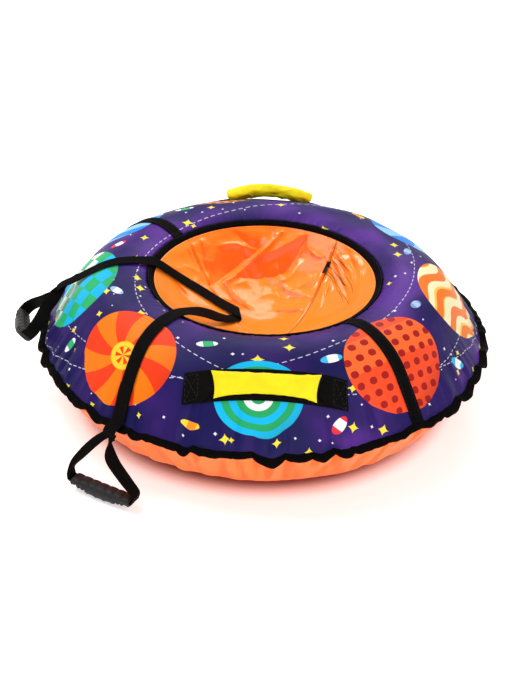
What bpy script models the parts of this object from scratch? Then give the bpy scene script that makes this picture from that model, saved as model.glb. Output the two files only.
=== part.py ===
"""An inflatable snow tube: a rubber inner tube in a sewn cover, with a dished seat, padded handles and a tow leash.

Metres, +Z up, +Y away from the viewer. The origin is the middle of the base, on the ground.
"""

import math

import bmesh
import bpy
import numpy as np
from mathutils import Matrix, Vector

# The outer seam sets the tube's size: the cover's and the seat's shapes are shares of its radius
SEAM_RADIUS = 0.450
SEAM_HEIGHT_SHARE = 0.293333
SEAM_ALLOWANCE = 0.004
HANDLE_DISTANCE_SHARE = 0.795556
OPENING_SHARE = 0.527778
SEAT_DEPTH_SHARE = 0.188889
LEFT_SEAM_SHARE = 0.157778
ZIP_SHARE = 0.186667

# The inflated section of the cover, as quarter ellipses round one centre
SECTION_RADIUS_SHARE = 0.633333
SECTION_HEIGHT_SHARE = 0.244444
SECTION_RISE_SHARE = 0.368889
SECTION_OUTWARD_SHARE = 0.302222
SECTION_INWARD_SHARE = 0.262222

# Cloth, and the clearances between pieces
CLOTH_WALL = 0.0012
SEWN_GAP = 0.0003
WORN_GAP = 0.0008

# The tape round the seat opening and the gathered tape round the outer seam
OPENING_TAPE_WIDTH = 0.0135
TAPE_THICKNESS = 0.0034
RIM_TAPE_WIDTH = 0.0155
RIM_TAPE_THICKNESS = 0.0050
RIM_WAVES = 36
RIM_WAVE_RISE = 0.0045
RIM_WAVE_REACH = 0.0022

# The seat, a hanging dish of three sewn panels
SEAT_WALL = 0.0010
SEAT_SEAM_GAP = 0.0005
SEAT_FOLD_DEPTH = 0.0090
FOLD_COUNT = 9
FOLD_SWIRL = 5
FOLD_BACK_TURN = math.radians(20)
FOLD_EVEN_SHARE = 0.35
FOLD_ZIP_SHARE = 0.9
FOLD_LEASH_TURN = math.radians(170)
LEFT_SEAM_ANGLE = math.radians(208.7)
ZIP_ANGLE = math.radians(-20.3)

# The zip fastener in the right seam
ZIP_END_SHARE = 0.97
ZIP_SLOT = 0.0090
ZIP_TAPE_WIDTH = 0.0260
ZIP_TAPE_THICKNESS = 0.0007
ZIP_COIL_WIDTH = 0.0046
ZIP_COIL_HEIGHT = 0.0020
ZIP_COIL_TOP_SHARE = 0.7
SLIDER_LENGTH = 0.0140
SLIDER_FLANGE = 0.0013
SLIDER_TOP = 0.0014
SLIDER_CLEARANCE = 0.0004
SLIDER_TURN = math.radians(29.1)
BRIDGE_LENGTH = 0.0084
BRIDGE_WIDTH = 0.0024
BRIDGE_HEIGHT = 0.0042
BRIDGE_HOLE_LENGTH = 0.0040
BRIDGE_HOLE_HEIGHT = 0.0024
PULL_LENGTH = 0.0260
PULL_WIDTH = 0.0070
PULL_THICKNESS = 0.0012
PULL_LIFT = math.radians(6)

# The rubber inner tube and its valve
INNER_SHIFT = 0.001
INNER_SIDE_ROOM = 0.008
INNER_TOP_ROOM = 0.003
RUBBER_WALL = 0.0022
VALVE_HOLE_RADIUS = 0.0060
VALVE_FLANGE_RADIUS = 0.0150
VALVE_FLANGE_THICKNESS = 0.0022
VALVE_NECK_RADIUS = 0.0075
VALVE_WAIST_SHARE = 0.8
VALVE_TIP_RADIUS = 0.0041
VALVE_LENGTH = 0.034
VALVE_THREAD_LENGTH = 0.010
VALVE_BORE_RADIUS = 0.0026
CORE_LENGTH = 0.020
CAP_LENGTH = 0.0125
CAP_RADIUS = 0.0060

# Sewn webbing across the cover
WEBBING_WIDTH = 0.025
WEBBING_THICKNESS = 0.0014
BACK_STRAP_ANGLE = math.radians(140.5)
FRONT_STRAP_ANGLE = math.radians(-48.5)

# The two padded handles, alike but for how far each stands off the cover
HANDLE_WEBBING_WIDTH = 0.050
HANDLE_LENGTH = 0.300
HANDLE_SHIFT = 0.006
HANDLE_ROOT_LENGTH = 0.034
GATHERED_WIDTH = 0.024
PAD_END_ROOM = 0.016
PAD_HALF_WIDTH = 0.0185
PAD_END_HALF_WIDTH = 0.0235
PAD_HEIGHT = 0.0185
PAD_END_HEIGHT = 0.0125
PAD_WALL = 0.0010
FOAM_SHARE = 0.78
FRONT_ARCH = 0.0095
REAR_ARCH = 0.0160
ARCH_SPREAD = 2.2
ARCH_FULLNESS = 0.8
PAD_TOP_SHARE = 0.62
PAD_SQUARENESS = (0.75, 0.4)

# The moulded hand grips
GRIP_LENGTH = 0.134
GRIP_HEIGHT = 0.026
GRIP_END_HEIGHT = 0.017
GRIP_THICKNESS = 0.032
GRIP_SCALLOP = 0.0024
GRIP_FINGERS = 4
GRIP_SLOT_CLEARANCE = 0.0005
GRIP_SQUARENESS = 0.6
GRIP_END_THINNING = 0.1
GRIP_FINGER_SHARE = 0.95
FRONT_GRIP_OUT = 0.050682
FRONT_GRIP_TURN = math.radians(-125.8177)
FRONT_GRIP_ANGLE = math.radians(-30)
LEASH_GRIP_OUT = 0.037
LEASH_GRIP_SHIFT = -0.030
LEASH_GRIP_RISE = 0.015
LEASH_GRIP_ANGLE = math.radians(-90)
LEASH_GRIP_LEAN = math.radians(-45)
LOOP_PINCH = 0.0030
LOOP_BEND = 0.0060
LOOP_KNOT_OUT = 0.0193
LOOP_KNOT_DROP = 0.0032
LOOP_KNOT_ANGLE = math.radians(-126.5)
GROUND_GAP = 0.0002

# A loop's side from its sewn end to the grip, as shares out and up, its turn into the grip, and its run through it
LOOP_SHARES = ((0, 1), (0.10, 0.93), (0.34, 0.76), (0.62, 0.55), (0.86, 0.34), (0.99, 0.16))
LOOP_TURN_SHARES = ((1, 0.9), (0.75, 0.22))
LOOP_RUN_SHARES = (-0.98, -0.9, -0.5, 0, 0.5, 0.9, 0.98)

# How finely the curves are stepped
TURN_STEPS = 52
INNER_STEPS = 26
INNER_SIDES = 16
SECTION_STEPS = 8
WEBBING_COLUMNS = 4
HANDLE_STATIONS = 25
PAD_STATIONS = 17
PAD_SIDES = 12
ROUTE_STEPS = 3
SEAT_RINGS = 10
ZIP_STATIONS = 40
STRAP_STATIONS = 20
GRIP_STATIONS = 29
GRIP_SIDES = 10
STEM_SIDES = 20
CORE_SIDES = 12
HOLE_SIDES = 16

# The cover's section and heights, from the seam's radius
SEAM_HEIGHT = SEAM_RADIUS * SEAM_HEIGHT_SHARE
SECTION_RADIUS = SEAM_RADIUS * SECTION_RADIUS_SHARE
SECTION_HEIGHT = SEAM_RADIUS * SECTION_HEIGHT_SHARE
SECTION_RISE = SEAM_RADIUS * SECTION_RISE_SHARE
SECTION_OUTWARD = SEAM_RADIUS * SECTION_OUTWARD_SHARE
SECTION_INWARD = SEAM_RADIUS * SECTION_INWARD_SHARE
OPENING_RADIUS = SEAM_RADIUS * OPENING_SHARE
SEAT_DEPTH = SEAM_RADIUS * SEAT_DEPTH_SHARE
LEFT_SEAM_OFFSET = SEAM_RADIUS * LEFT_SEAM_SHARE
ZIP_OFFSET = SEAM_RADIUS * ZIP_SHARE
HANDLE_DISTANCE = SEAM_RADIUS * HANDLE_DISTANCE_SHARE
PAD_LENGTH = HANDLE_LENGTH - 2 * (HANDLE_ROOT_LENGTH + PAD_END_ROOM)

# The inner tube fills the section but for some room
INNER_RADIUS = SECTION_RADIUS + INNER_SHIFT
INNER_HALF_WIDTH = SECTION_INWARD - INNER_SIDE_ROOM
INNER_TOP = SECTION_HEIGHT + SECTION_RISE - CLOTH_WALL - INNER_TOP_ROOM

# Height of the arched webbing over the cover at its sewn ends, on the base strip
HANDLE_REST = 2 * WORN_GAP + WEBBING_THICKNESS

# The valve sits in the middle of a flat of the tube's mesh
VALVE_ANGLE = 3 * math.pi / INNER_STEPS

# The seam's flange, where the two cloths lie flat on each other
FLANGE_RADIUS = SEAM_RADIUS - SEAM_ALLOWANCE
FLANGE_TOP = SEAM_HEIGHT + CLOTH_WALL + SEWN_GAP / 2
FLANGE_BASE = SEAM_HEIGHT - CLOTH_WALL - SEWN_GAP / 2


# The inflated section


def tangent_turn(out_share, up_share, side):
    """Angle on a unit circle where a line from an outside point touches it, on one side."""
    return math.atan2(up_share, out_share) + side * math.acos(1 / math.hypot(out_share, up_share))


def upper_touch():
    """Where the straight cloth above the seam meets the inflated curve: the angle, radius and height."""
    out_share = (FLANGE_RADIUS - SECTION_RADIUS) / SECTION_OUTWARD
    turn = tangent_turn(out_share, (FLANGE_TOP - SECTION_HEIGHT) / SECTION_RISE, 1)
    radius = SECTION_RADIUS + SECTION_OUTWARD * math.cos(turn)
    return turn, radius, SECTION_HEIGHT + SECTION_RISE * math.sin(turn)


def cover_height(radius):
    """Height of the top cover's outer face at a distance from the axis, as a number or an array."""
    _, touch_radius, touch_height = upper_touch()
    reach = np.where(radius < SECTION_RADIUS, SECTION_INWARD, SECTION_OUTWARD)
    share = np.clip((radius - SECTION_RADIUS) / reach, -1, 1)
    curved = SECTION_HEIGHT + SECTION_RISE * np.sqrt(1 - share**2)
    slope = (FLANGE_TOP - touch_height) / (FLANGE_RADIUS - touch_radius)
    straight = np.maximum(touch_height + slope * (radius - touch_radius), FLANGE_TOP)
    return np.where(radius < touch_radius, curved, straight)


def cover_frame(points):
    """Outer face of the top cover over plan points (n, 2): the places on it and its outward normals, each (n, 3)."""
    radius = np.linalg.norm(points, axis=1)
    step = CLOTH_WALL / 2
    slope = (cover_height(radius + step) - cover_height(radius - step)) / (2 * step)
    places = np.column_stack([points, cover_height(radius)])
    normals = np.column_stack([-slope[:, None] * points / radius[:, None], np.ones(len(points))])
    return places, normals / np.linalg.norm(normals, axis=1)[:, None]


OPENING_INNER = OPENING_RADIUS - OPENING_TAPE_WIDTH
OPENING_HEIGHT = float(cover_height(OPENING_RADIUS))
SEAT_RIM_RADIUS = OPENING_INNER - SEWN_GAP - SEAT_WALL
SEAT_RIM_HEIGHT = OPENING_HEIGHT - OPENING_TAPE_WIDTH / 2
SEAT_SPHERE = (SEAT_RIM_RADIUS**2 + SEAT_DEPTH**2) / (2 * SEAT_DEPTH)
SEAT_SPHERE_HEIGHT = SEAT_RIM_HEIGHT - SEAT_DEPTH + SEAT_SPHERE
ZIP_ARC_RADIUS = math.sqrt(SEAT_SPHERE**2 - ZIP_OFFSET**2)


# Meshes, modifiers and materials


def material(name, colour, roughness, metallic=0.0):
    made = bpy.data.materials.new(name)
    made.use_nodes = True
    shader = made.node_tree.nodes["Principled BSDF"]
    shader.inputs["Base Color"].default_value = (*colour, 1)
    shader.inputs["Roughness"].default_value = roughness
    shader.inputs["Metallic"].default_value = metallic
    return made


def add_object(name, mesh, finish, collection="snow_tube"):
    """A new object in one of the two collections, with its own material."""
    made = bpy.data.objects.new(name, mesh)
    bpy.data.collections[collection].objects.link(made)
    if finish:
        mesh.materials.append(material(name, *finish))
        mesh.shade_smooth()
        mesh.set_sharp_from_angle(angle=math.radians(40))
    return made


def cutter(name, mesh):
    made = add_object(name, mesh, None, "cutters")
    made.hide_render = True
    made.display_type = "WIRE"
    return made


def mesh_of(name, points, faces):
    mesh = bpy.data.meshes.new(name)
    mesh.from_pydata(np.asarray(points, float).reshape(-1, 3).tolist(), [], faces)
    mesh.update()
    return mesh


def grid_faces(rows, columns, wrap):
    """Quads of a grid of rows x columns points; wrap joins the last column to the first."""
    faces = []
    for row in range(rows - 1):
        for column in range(columns if wrap else columns - 1):
            after = (column + 1) % columns
            faces.append((row * columns + column, row * columns + after,
                          (row + 1) * columns + after, (row + 1) * columns + column))
    return faces


def loft(name, sections, finish, closed=False):
    """A solid through closed sections (n, k, 3): with end caps, or joined end to end when closed."""
    rows, columns = sections.shape[:2]
    faces = grid_faces(rows, columns, True)
    if closed:
        last = (rows - 1) * columns
        for column in range(columns):
            after = (column + 1) % columns
            faces.append((last + column, last + after, after, column))
    else:
        faces.append(tuple(range(columns - 1, -1, -1)))
        faces.append(tuple(range((rows - 1) * columns, rows * columns)))
    mesh = mesh_of(name, sections, faces)
    face_out(mesh)
    return add_object(name, mesh, finish)


def face_out(mesh):
    shape = bmesh.new()
    shape.from_mesh(mesh)
    bmesh.ops.recalc_face_normals(shape, faces=shape.faces)
    shape.to_mesh(mesh)
    shape.free()


def turned(name, profile, finish, steps=TURN_STEPS, closed=False, wall=0.0):
    """A profile of (radius, height) points turned round the axis, given a wall on its inner side if it is open."""
    edges = [(i, i + 1) for i in range(len(profile) - 1)]
    if closed:
        edges.append((len(profile) - 1, 0))
    mesh = bpy.data.meshes.new(name)
    mesh.from_pydata([(radius, 0, height) for radius, height in profile], edges, [])
    made = add_object(name, mesh, finish)
    screw = made.modifiers.new("turn", "SCREW")
    screw.steps = screw.render_steps = steps
    screw.use_merge_vertices = True
    screw.merge_threshold = CLOTH_WALL / 20
    if wall:
        solid = made.modifiers.new("wall", "SOLIDIFY")
        solid.thickness = wall
        solid.offset = -1
        solid.use_even_offset = True
    return made


def boolean(made, operand, operation):
    cut = made.modifiers.new(operand.name, "BOOLEAN")
    cut.object = operand
    cut.operation = operation
    cut.solver = "EXACT"


def box_mesh(name, low, high):
    """A box between two corners."""
    shape = bmesh.new()
    size = Vector(high) - Vector(low)
    middle = (Vector(high) + Vector(low)) / 2
    bmesh.ops.create_cube(shape, size=1, matrix=Matrix.Translation(middle) @ Matrix.Diagonal((*size, 1)))
    mesh = bpy.data.meshes.new(name)
    shape.to_mesh(mesh)
    shape.free()
    return mesh


def cylinder_mesh(name, radius, length, sides=HOLE_SIDES):
    """A cylinder along +Z from the origin."""
    shape = bmesh.new()
    bmesh.ops.create_cone(shape, cap_ends=True, segments=sides, radius1=radius, radius2=radius, depth=length,
                          matrix=Matrix.Translation((0, 0, length / 2)))
    mesh = bpy.data.meshes.new(name)
    shape.to_mesh(mesh)
    shape.free()
    return mesh


def ribbon_sections(centres, across, up, width, thickness, columns=2):
    """Closed flat sections of webbing about its lower face's middle: (n, 2 * columns, 3)."""
    shares = np.linspace(-1, 1, columns)[None, :, None]
    half = np.broadcast_to(np.asarray(width) / 2, len(centres))[:, None, None]
    lower = centres[:, None] + across[:, None] * half * shares
    upper = lower[:, ::-1] + up[:, None] * thickness
    return np.concatenate([lower, upper], axis=1)


def cover_ribbon_sections(path, width, gap, thickness, columns):
    """Sections of webbing that hugs the top cover along a plan path (n, 2), a gap above it."""
    along = np.gradient(path, axis=0)
    along /= np.linalg.norm(along, axis=1)[:, None]
    side = np.column_stack([-along[:, 1], along[:, 0]])
    shares = np.linspace(-1, 1, columns)
    plan = path[:, None] + side[:, None] * (np.asarray(width).reshape(-1, 1) / 2 * shares)[..., None]
    places, normals = cover_frame(plan.reshape(-1, 2))
    places = places.reshape(len(path), columns, 3)
    normals = normals.reshape(len(path), columns, 3)
    gap = np.broadcast_to(np.asarray(gap), len(path))[:, None, None]
    lower = places + normals * gap
    upper = (places + normals * (gap + thickness))[:, ::-1]
    return np.concatenate([lower, upper], axis=1)


# Colours as (colour, roughness, metallic)
PRINTED_CLOTH = ((0.035, 0.020, 0.160), 0.55)
ORANGE_SHEET = ((0.900, 0.240, 0.030), 0.32)
BLACK_TAPE = ((0.012, 0.012, 0.013), 0.70)
YELLOW_CLOTH = ((0.950, 0.720, 0.030), 0.50)
BUTYL = ((0.020, 0.020, 0.020), 0.60)
GREY_PLASTIC = ((0.030, 0.030, 0.032), 0.38)
FOAM = ((0.550, 0.550, 0.520), 0.90)
BRASS = ((0.600, 0.450, 0.180), 0.35, 1.0)
DARK_METAL = ((0.050, 0.040, 0.035), 0.40, 0.8)


# The cover, its tapes and the inner tube


def top_cover():
    """The printed ring of cloth from the seat opening over the tube to the seam."""
    turn, _, _ = upper_touch()
    start = OPENING_RADIUS + SEWN_GAP
    inner = [(radius, float(cover_height(radius)))
             for radius in np.linspace(start, SECTION_RADIUS, SECTION_STEPS // 3 + 1)]
    outer = [(SECTION_RADIUS + SECTION_OUTWARD * math.cos(angle), SECTION_HEIGHT + SECTION_RISE * math.sin(angle))
             for angle in np.linspace(math.pi / 2, turn, SECTION_STEPS)[1:]]
    profile = inner + outer + [(FLANGE_RADIUS, FLANGE_TOP), (SEAM_RADIUS, FLANGE_TOP)]
    turned("top_cover", profile, PRINTED_CLOTH, wall=CLOTH_WALL)


def bottom_cover():
    """The slick sheet from the seam down and under the tube, flat where it stands."""
    out_share = (FLANGE_RADIUS - SECTION_RADIUS) / SECTION_OUTWARD
    up_share = (FLANGE_BASE - SECTION_HEIGHT) / SECTION_HEIGHT
    turn = tangent_turn(out_share, up_share, -1)
    curve = [(SECTION_RADIUS + SECTION_OUTWARD * math.cos(angle), SECTION_HEIGHT + SECTION_HEIGHT * math.sin(angle))
             for angle in np.linspace(turn, -math.pi / 2, SECTION_STEPS)]
    seam = [(SEAM_RADIUS, FLANGE_BASE), (FLANGE_RADIUS, FLANGE_BASE)]
    profile = seam + curve + [(SECTION_RADIUS / 2, 0), (0, 0)]
    turned("bottom_cover", profile, ORANGE_SHEET, wall=CLOTH_WALL)


def rim_tape():
    """The gathered tape round the outer seam: flat where it is sewn, waved along its free edge."""
    steps = RIM_WAVES * 4
    turn = np.linspace(0, 2 * math.pi, steps, endpoint=False)
    wave = np.cos(RIM_WAVES * turn)
    inner = SEAM_RADIUS + SEWN_GAP
    half = RIM_TAPE_THICKNESS / 2
    shares = ((0, -1), (1, -0.55), (1, 0.55), (0, 1))
    sections = np.empty((steps, len(shares), 3))
    for column, (out_share, up_share) in enumerate(shares):
        radius = inner + out_share * (RIM_TAPE_WIDTH + RIM_WAVE_REACH * wave)
        height = SEAM_HEIGHT + up_share * half + out_share * RIM_WAVE_RISE * np.sin(RIM_WAVES * turn)
        sections[:, column] = np.column_stack([radius * np.cos(turn), radius * np.sin(turn), height])
    loft("rim_tape", sections, BLACK_TAPE, closed=True)


def opening_tape():
    """The flat tape folded over the edge where the seat meets the cover."""
    inner, outer = OPENING_INNER, OPENING_RADIUS
    low, high = SEAT_RIM_HEIGHT - SEAT_WALL, OPENING_HEIGHT
    rise, half = high - low, TAPE_THICKNESS / 2
    profile = [(inner, low + half), (inner + rise / 2, high + half), (outer, high + half),
               (outer, high - half), (inner + rise / 2, high - half), (inner, low - half)]
    turned("opening_tape", profile, BLACK_TAPE, closed=True)


def inner_tube():
    """The hollow rubber ring, with the hole that its valve passes through."""
    low = CLOTH_WALL + SEWN_GAP
    middle, half = (INNER_TOP + low) / 2, (INNER_TOP - low) / 2
    turns = np.linspace(0, -2 * math.pi, INNER_SIDES, endpoint=False)
    profile = [(INNER_RADIUS + INNER_HALF_WIDTH * math.cos(angle), middle + half * math.sin(angle))
               for angle in turns]
    made = turned("inner_tube", profile, BUTYL, steps=INNER_STEPS, closed=True, wall=RUBBER_WALL)
    hole = cutter("valve_hole", cylinder_mesh("valve_hole", VALVE_HOLE_RADIUS, INNER_HALF_WIDTH / 2))
    hole.matrix_world = valve_place(-INNER_HALF_WIDTH / 4)
    boolean(made, hole, "DIFFERENCE")


def valve_place(depth=0.0):
    """Frame on the tube's inner side: +Z points at the axis of the snow tube, out of the rubber."""
    low = CLOTH_WALL + SEWN_GAP
    reach = (INNER_RADIUS - INNER_HALF_WIDTH) * math.cos(math.pi / INNER_STEPS) - depth
    place = Vector((reach * math.cos(VALVE_ANGLE), reach * math.sin(VALVE_ANGLE), (INNER_TOP + low) / 2))
    turn = Matrix.Rotation(VALVE_ANGLE, 4, "Z") @ Matrix.Rotation(-math.pi / 2, 4, "Y")
    return Matrix.Translation(place) @ turn


def valve():
    """The moulded stem in the tube's hole, the core in its bore and the cap over its thread."""
    bore, neck, tip = VALVE_BORE_RADIUS, VALVE_NECK_RADIUS, VALVE_TIP_RADIUS
    back = SEWN_GAP
    top = back + VALVE_LENGTH
    flange = back + VALVE_FLANGE_THICKNESS
    thread = top - VALVE_THREAD_LENGTH
    spigot = VALVE_HOLE_RADIUS - SEWN_GAP
    profile = [(bore, top), (tip, top), (tip, thread), (neck * VALVE_WAIST_SHARE, thread - back), (neck, flange * 2),
               (VALVE_FLANGE_RADIUS, flange), (VALVE_FLANGE_RADIUS, back), (spigot, back),
               (spigot, -RUBBER_WALL), (bore, -RUBBER_WALL)]
    stem = turned("valve_stem", profile, BUTYL, steps=STEM_SIDES, closed=True)
    stem.matrix_world = valve_place()
    core = add_object("valve_core", cylinder_mesh("valve_core", bore - SEWN_GAP, CORE_LENGTH, CORE_SIDES), BRASS)
    core.matrix_world = valve_place() @ Matrix.Translation((0, 0, top - CORE_LENGTH - bore))
    cap_low = thread + SEWN_GAP
    cap = add_object("valve_cap", cylinder_mesh("valve_cap", CAP_RADIUS, CAP_LENGTH, CORE_SIDES), GREY_PLASTIC)
    cap.matrix_world = valve_place() @ Matrix.Translation((0, 0, cap_low))
    room = cutter("cap_bore", cylinder_mesh("cap_bore", tip + SEWN_GAP, VALVE_THREAD_LENGTH * 2, STEM_SIDES))
    room.matrix_world = valve_place() @ Matrix.Translation((0, 0, top + SEWN_GAP - VALVE_THREAD_LENGTH * 2))
    boolean(cap, room, "DIFFERENCE")


# The seat and its zip fastener


def seat_height(x, y):
    """Height of the plain dish, part of a sphere, over plan points."""
    return SEAT_SPHERE_HEIGHT - np.sqrt(SEAT_SPHERE**2 - x**2 - y**2)


def seat_fold(x, y):
    """Rise of the cloth's folds over plan points: none at the tape, along the zip or under the leash."""
    radius = np.hypot(x, y) / SEAT_RIM_RADIUS
    turn = np.arctan2(y, x)
    ring_share = np.clip(4 * radius * (1 - radius), 0, 1)
    from_zip = np.abs(x * math.cos(ZIP_ANGLE) + y * math.sin(ZIP_ANGLE) - ZIP_OFFSET)
    zip_share = np.clip(from_zip / ZIP_TAPE_WIDTH - FOLD_ZIP_SHARE, 0, 1)
    back_share = np.clip(FOLD_EVEN_SHARE + (1 - FOLD_EVEN_SHARE) * np.sin(turn - FOLD_BACK_TURN), 0, 1)
    leash_share = np.clip(3 - 3 * np.cos(turn - FOLD_LEASH_TURN), 0, 1)
    wave = (1 + np.cos(FOLD_COUNT * turn + FOLD_SWIRL * radius)) / 2
    return SEAT_FOLD_DEPTH * ring_share * zip_share * back_share * leash_share * wave


def keep_between(made, low, high, angle):
    """Cuts away what lies outside two upright planes square to a direction, at distances from the axis."""
    reach = SEAT_SPHERE
    operand = f"{made.name}_keep_{len(made.modifiers)}"
    keep = cutter(operand, box_mesh(operand, (low, -reach, -reach), (high, reach, reach)))
    keep.rotation_euler = (0, 0, angle)
    boolean(made, keep, "INTERSECT")


def seat_panel(name, sides):
    """The part of the dish between pairs of planes, each given as two distances and a direction."""
    rings, turns = SEAT_RINGS, TURN_STEPS
    radius = np.linspace(0, SEAT_RIM_RADIUS, rings)[1:, None]
    turn = np.linspace(0, 2 * math.pi, turns, endpoint=False)[None]
    x, y = radius * np.cos(turn), radius * np.sin(turn)
    places = np.stack([x, y, seat_height(x, y) + seat_fold(x, y)], axis=-1).reshape(-1, 3)
    middle = (0, 0, float(seat_height(0, 0)))
    faces = grid_faces(rings - 1, turns, True)
    last = len(places)
    faces += [(column, last, (column + 1) % turns) for column in range(turns)]
    mesh = mesh_of(name, np.vstack([places, middle]), faces)
    face_up(mesh)
    made = add_object(name, mesh, ORANGE_SHEET)
    solid = made.modifiers.new("wall", "SOLIDIFY")
    solid.thickness = SEAT_WALL
    solid.offset = -1
    for bounds in sides:
        keep_between(made, *bounds)


def face_up(mesh):
    """Turns an open surface so that its faces look up."""
    shape = bmesh.new()
    shape.from_mesh(mesh)
    bmesh.ops.recalc_face_normals(shape, faces=shape.faces)
    if sum(face.normal.z * face.calc_area() for face in shape.faces) < 0:
        bmesh.ops.reverse_faces(shape, faces=shape.faces)
    shape.to_mesh(mesh)
    shape.free()


def seat():
    """Three panels: a plain seam on the left, the zip fastener's slot on the right."""
    far, left, zipped = SEAT_SPHERE, LEFT_SEAM_OFFSET, ZIP_OFFSET
    gap, slot = SEAT_SEAM_GAP / 2, ZIP_SLOT / 2
    middle_side = (-far, left - gap, LEFT_SEAM_ANGLE)
    seat_panel("seat_panel_left", [(left + gap, far, LEFT_SEAM_ANGLE)])
    seat_panel("seat_panel_middle", [middle_side, (-far, zipped - slot, ZIP_ANGLE)])
    seat_panel("seat_panel_right", [middle_side, (zipped + slot, far, ZIP_ANGLE)])


def zip_frame(turn):
    """Frame on the dish over the zip, a turn along its arc from the lowest point: +X along, +Y across, +Z up."""
    middle = Vector((ZIP_OFFSET, 0, SEAT_SPHERE_HEIGHT))
    arc = Matrix.Rotation(turn, 4, "X") @ Matrix.Translation((0, 0, -ZIP_ARC_RADIUS))
    tilt = Matrix.Rotation(-math.asin(ZIP_OFFSET / SEAT_SPHERE), 4, "Y")
    lay = Matrix.Rotation(math.pi / 2, 4, "Z")
    return Matrix.Rotation(ZIP_ANGLE, 4, "Z") @ Matrix.Translation(middle) @ arc @ tilt @ lay


def zip_chain():
    """Both zip tapes under the panels with the closed coil between them, as one band along the arc."""
    reach = math.asin(math.sqrt(SEAT_RIM_RADIUS**2 - (ZIP_OFFSET + ZIP_TAPE_WIDTH / 2)**2) / ZIP_ARC_RADIUS)
    top = -SEAT_WALL - SEWN_GAP
    low = top - ZIP_TAPE_THICKNESS
    coil = top + ZIP_COIL_HEIGHT
    tape, side = ZIP_TAPE_WIDTH / 2, ZIP_COIL_WIDTH / 2
    outline = [(-tape, low), (tape, low), (tape, top), (side, top), (side * ZIP_COIL_TOP_SHARE, coil),
               (-side * ZIP_COIL_TOP_SHARE, coil), (-side, top), (-tape, top)]
    turns = np.linspace(-reach, reach, ZIP_STATIONS) * ZIP_END_SHARE
    sections = [[zip_frame(turn) @ Vector((0, across, up)) for across, up in outline] for turn in turns]
    chain = loft("zip_chain", np.array(sections), ORANGE_SHEET)
    keep_between(chain, -SEAT_SPHERE, LEFT_SEAM_OFFSET - SEAT_SEAM_GAP / 2, LEFT_SEAM_ANGLE)


def zip_slider():
    """The slider astride the coil, with the bridge that its pull hangs in."""
    tape_top = -SEAT_WALL - SEWN_GAP
    inner = ZIP_COIL_WIDTH / 2 + SLIDER_CLEARANCE
    outer = inner + SLIDER_FLANGE
    low = tape_top + SLIDER_CLEARANCE
    roof = tape_top + ZIP_COIL_HEIGHT + SLIDER_CLEARANCE
    top = roof + SLIDER_TOP
    half = SLIDER_LENGTH / 2
    place = zip_frame(SLIDER_TURN)
    body = add_object("zip_slider", box_mesh("zip_slider", (-half, -outer, low), (half, outer, top)), DARK_METAL)
    body.matrix_world = place
    corners = body.modifiers.new("corners", "BEVEL")
    corners.width = SLIDER_TOP / 3
    corners.segments = 1
    groove = cutter("slider_groove", box_mesh("slider_groove", (-SLIDER_LENGTH, -inner, low - SLIDER_TOP),
                                              (SLIDER_LENGTH, inner, roof)))
    groove.matrix_world = place
    boolean(body, groove, "DIFFERENCE")
    length, side = BRIDGE_LENGTH / 2, BRIDGE_WIDTH / 2
    bridge = cutter("slider_bridge", box_mesh("slider_bridge", (-length, -side, top - SLIDER_TOP / 2),
                                              (length, side, top + BRIDGE_HEIGHT)))
    bridge.matrix_world = place
    boolean(body, bridge, "UNION")
    hole_low = top + (BRIDGE_HEIGHT - BRIDGE_HOLE_HEIGHT) / 2
    hole_half = BRIDGE_HOLE_LENGTH / 2
    hole = cutter("bridge_hole", box_mesh("bridge_hole", (-hole_half, -BRIDGE_WIDTH, hole_low),
                                          (hole_half, BRIDGE_WIDTH, hole_low + BRIDGE_HOLE_HEIGHT)))
    hole.matrix_world = place
    boolean(body, hole, "DIFFERENCE")
    zip_pull(place, hole_low + BRIDGE_HOLE_HEIGHT / 2)


def zip_pull(place, height):
    """The flat tab whose end bar runs through the slider's bridge. It lies towards the front of the seat."""
    half, thick = PULL_WIDTH / 2, PULL_THICKNESS / 2
    turn = place @ Matrix.Translation((0, 0, height)) @ Matrix.Rotation(PULL_LIFT, 4, "Y")
    pull = add_object("zip_pull", box_mesh("zip_pull", (-PULL_LENGTH, -half, -thick), (thick, half, thick)),
                      DARK_METAL)
    pull.matrix_world = turn
    window = BRIDGE_WIDTH / 2 + SLIDER_CLEARANCE
    eye = cutter("pull_eye", box_mesh("pull_eye", (-BRIDGE_LENGTH, -window, -PULL_WIDTH),
                                      (-thick, window, PULL_WIDTH)))
    eye.matrix_world = turn
    boolean(pull, eye, "DIFFERENCE")


# Sewn straps and padded handles


def sewn_strap(name, angle):
    """Flat webbing from the opening tape over the cover to the outer seam."""
    end = FLANGE_RADIUS - 2 * WORN_GAP
    radius = np.linspace(OPENING_RADIUS + WORN_GAP, end, STRAP_STATIONS)
    path = np.column_stack([radius * math.cos(angle), radius * math.sin(angle)])
    loft(name, cover_ribbon_sections(path, WEBBING_WIDTH, WORN_GAP, WEBBING_THICKNESS,
                                     WEBBING_COLUMNS), BLACK_TAPE)


def handle_path(side, half_length, stations):
    """Plan points of a straight line across the front (-1) or the rear (+1) of the cover."""
    x = np.linspace(-half_length, half_length, stations) + HANDLE_SHIFT
    return np.column_stack([x, np.full(stations, side * HANDLE_DISTANCE)])


def handle_rise(distance, arch):
    """Height of the handle's webbing over the base strip, by distance from its middle: flat ends, smooth arch."""
    start = HANDLE_LENGTH / 2 - HANDLE_ROOT_LENGTH
    share = np.clip(1 - np.abs(distance) / start, 0, 1)
    eased = share**2 * (3 - 2 * share)
    return arch * np.clip(eased * ARCH_SPREAD, 0, 1) ** ARCH_FULLNESS


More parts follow.
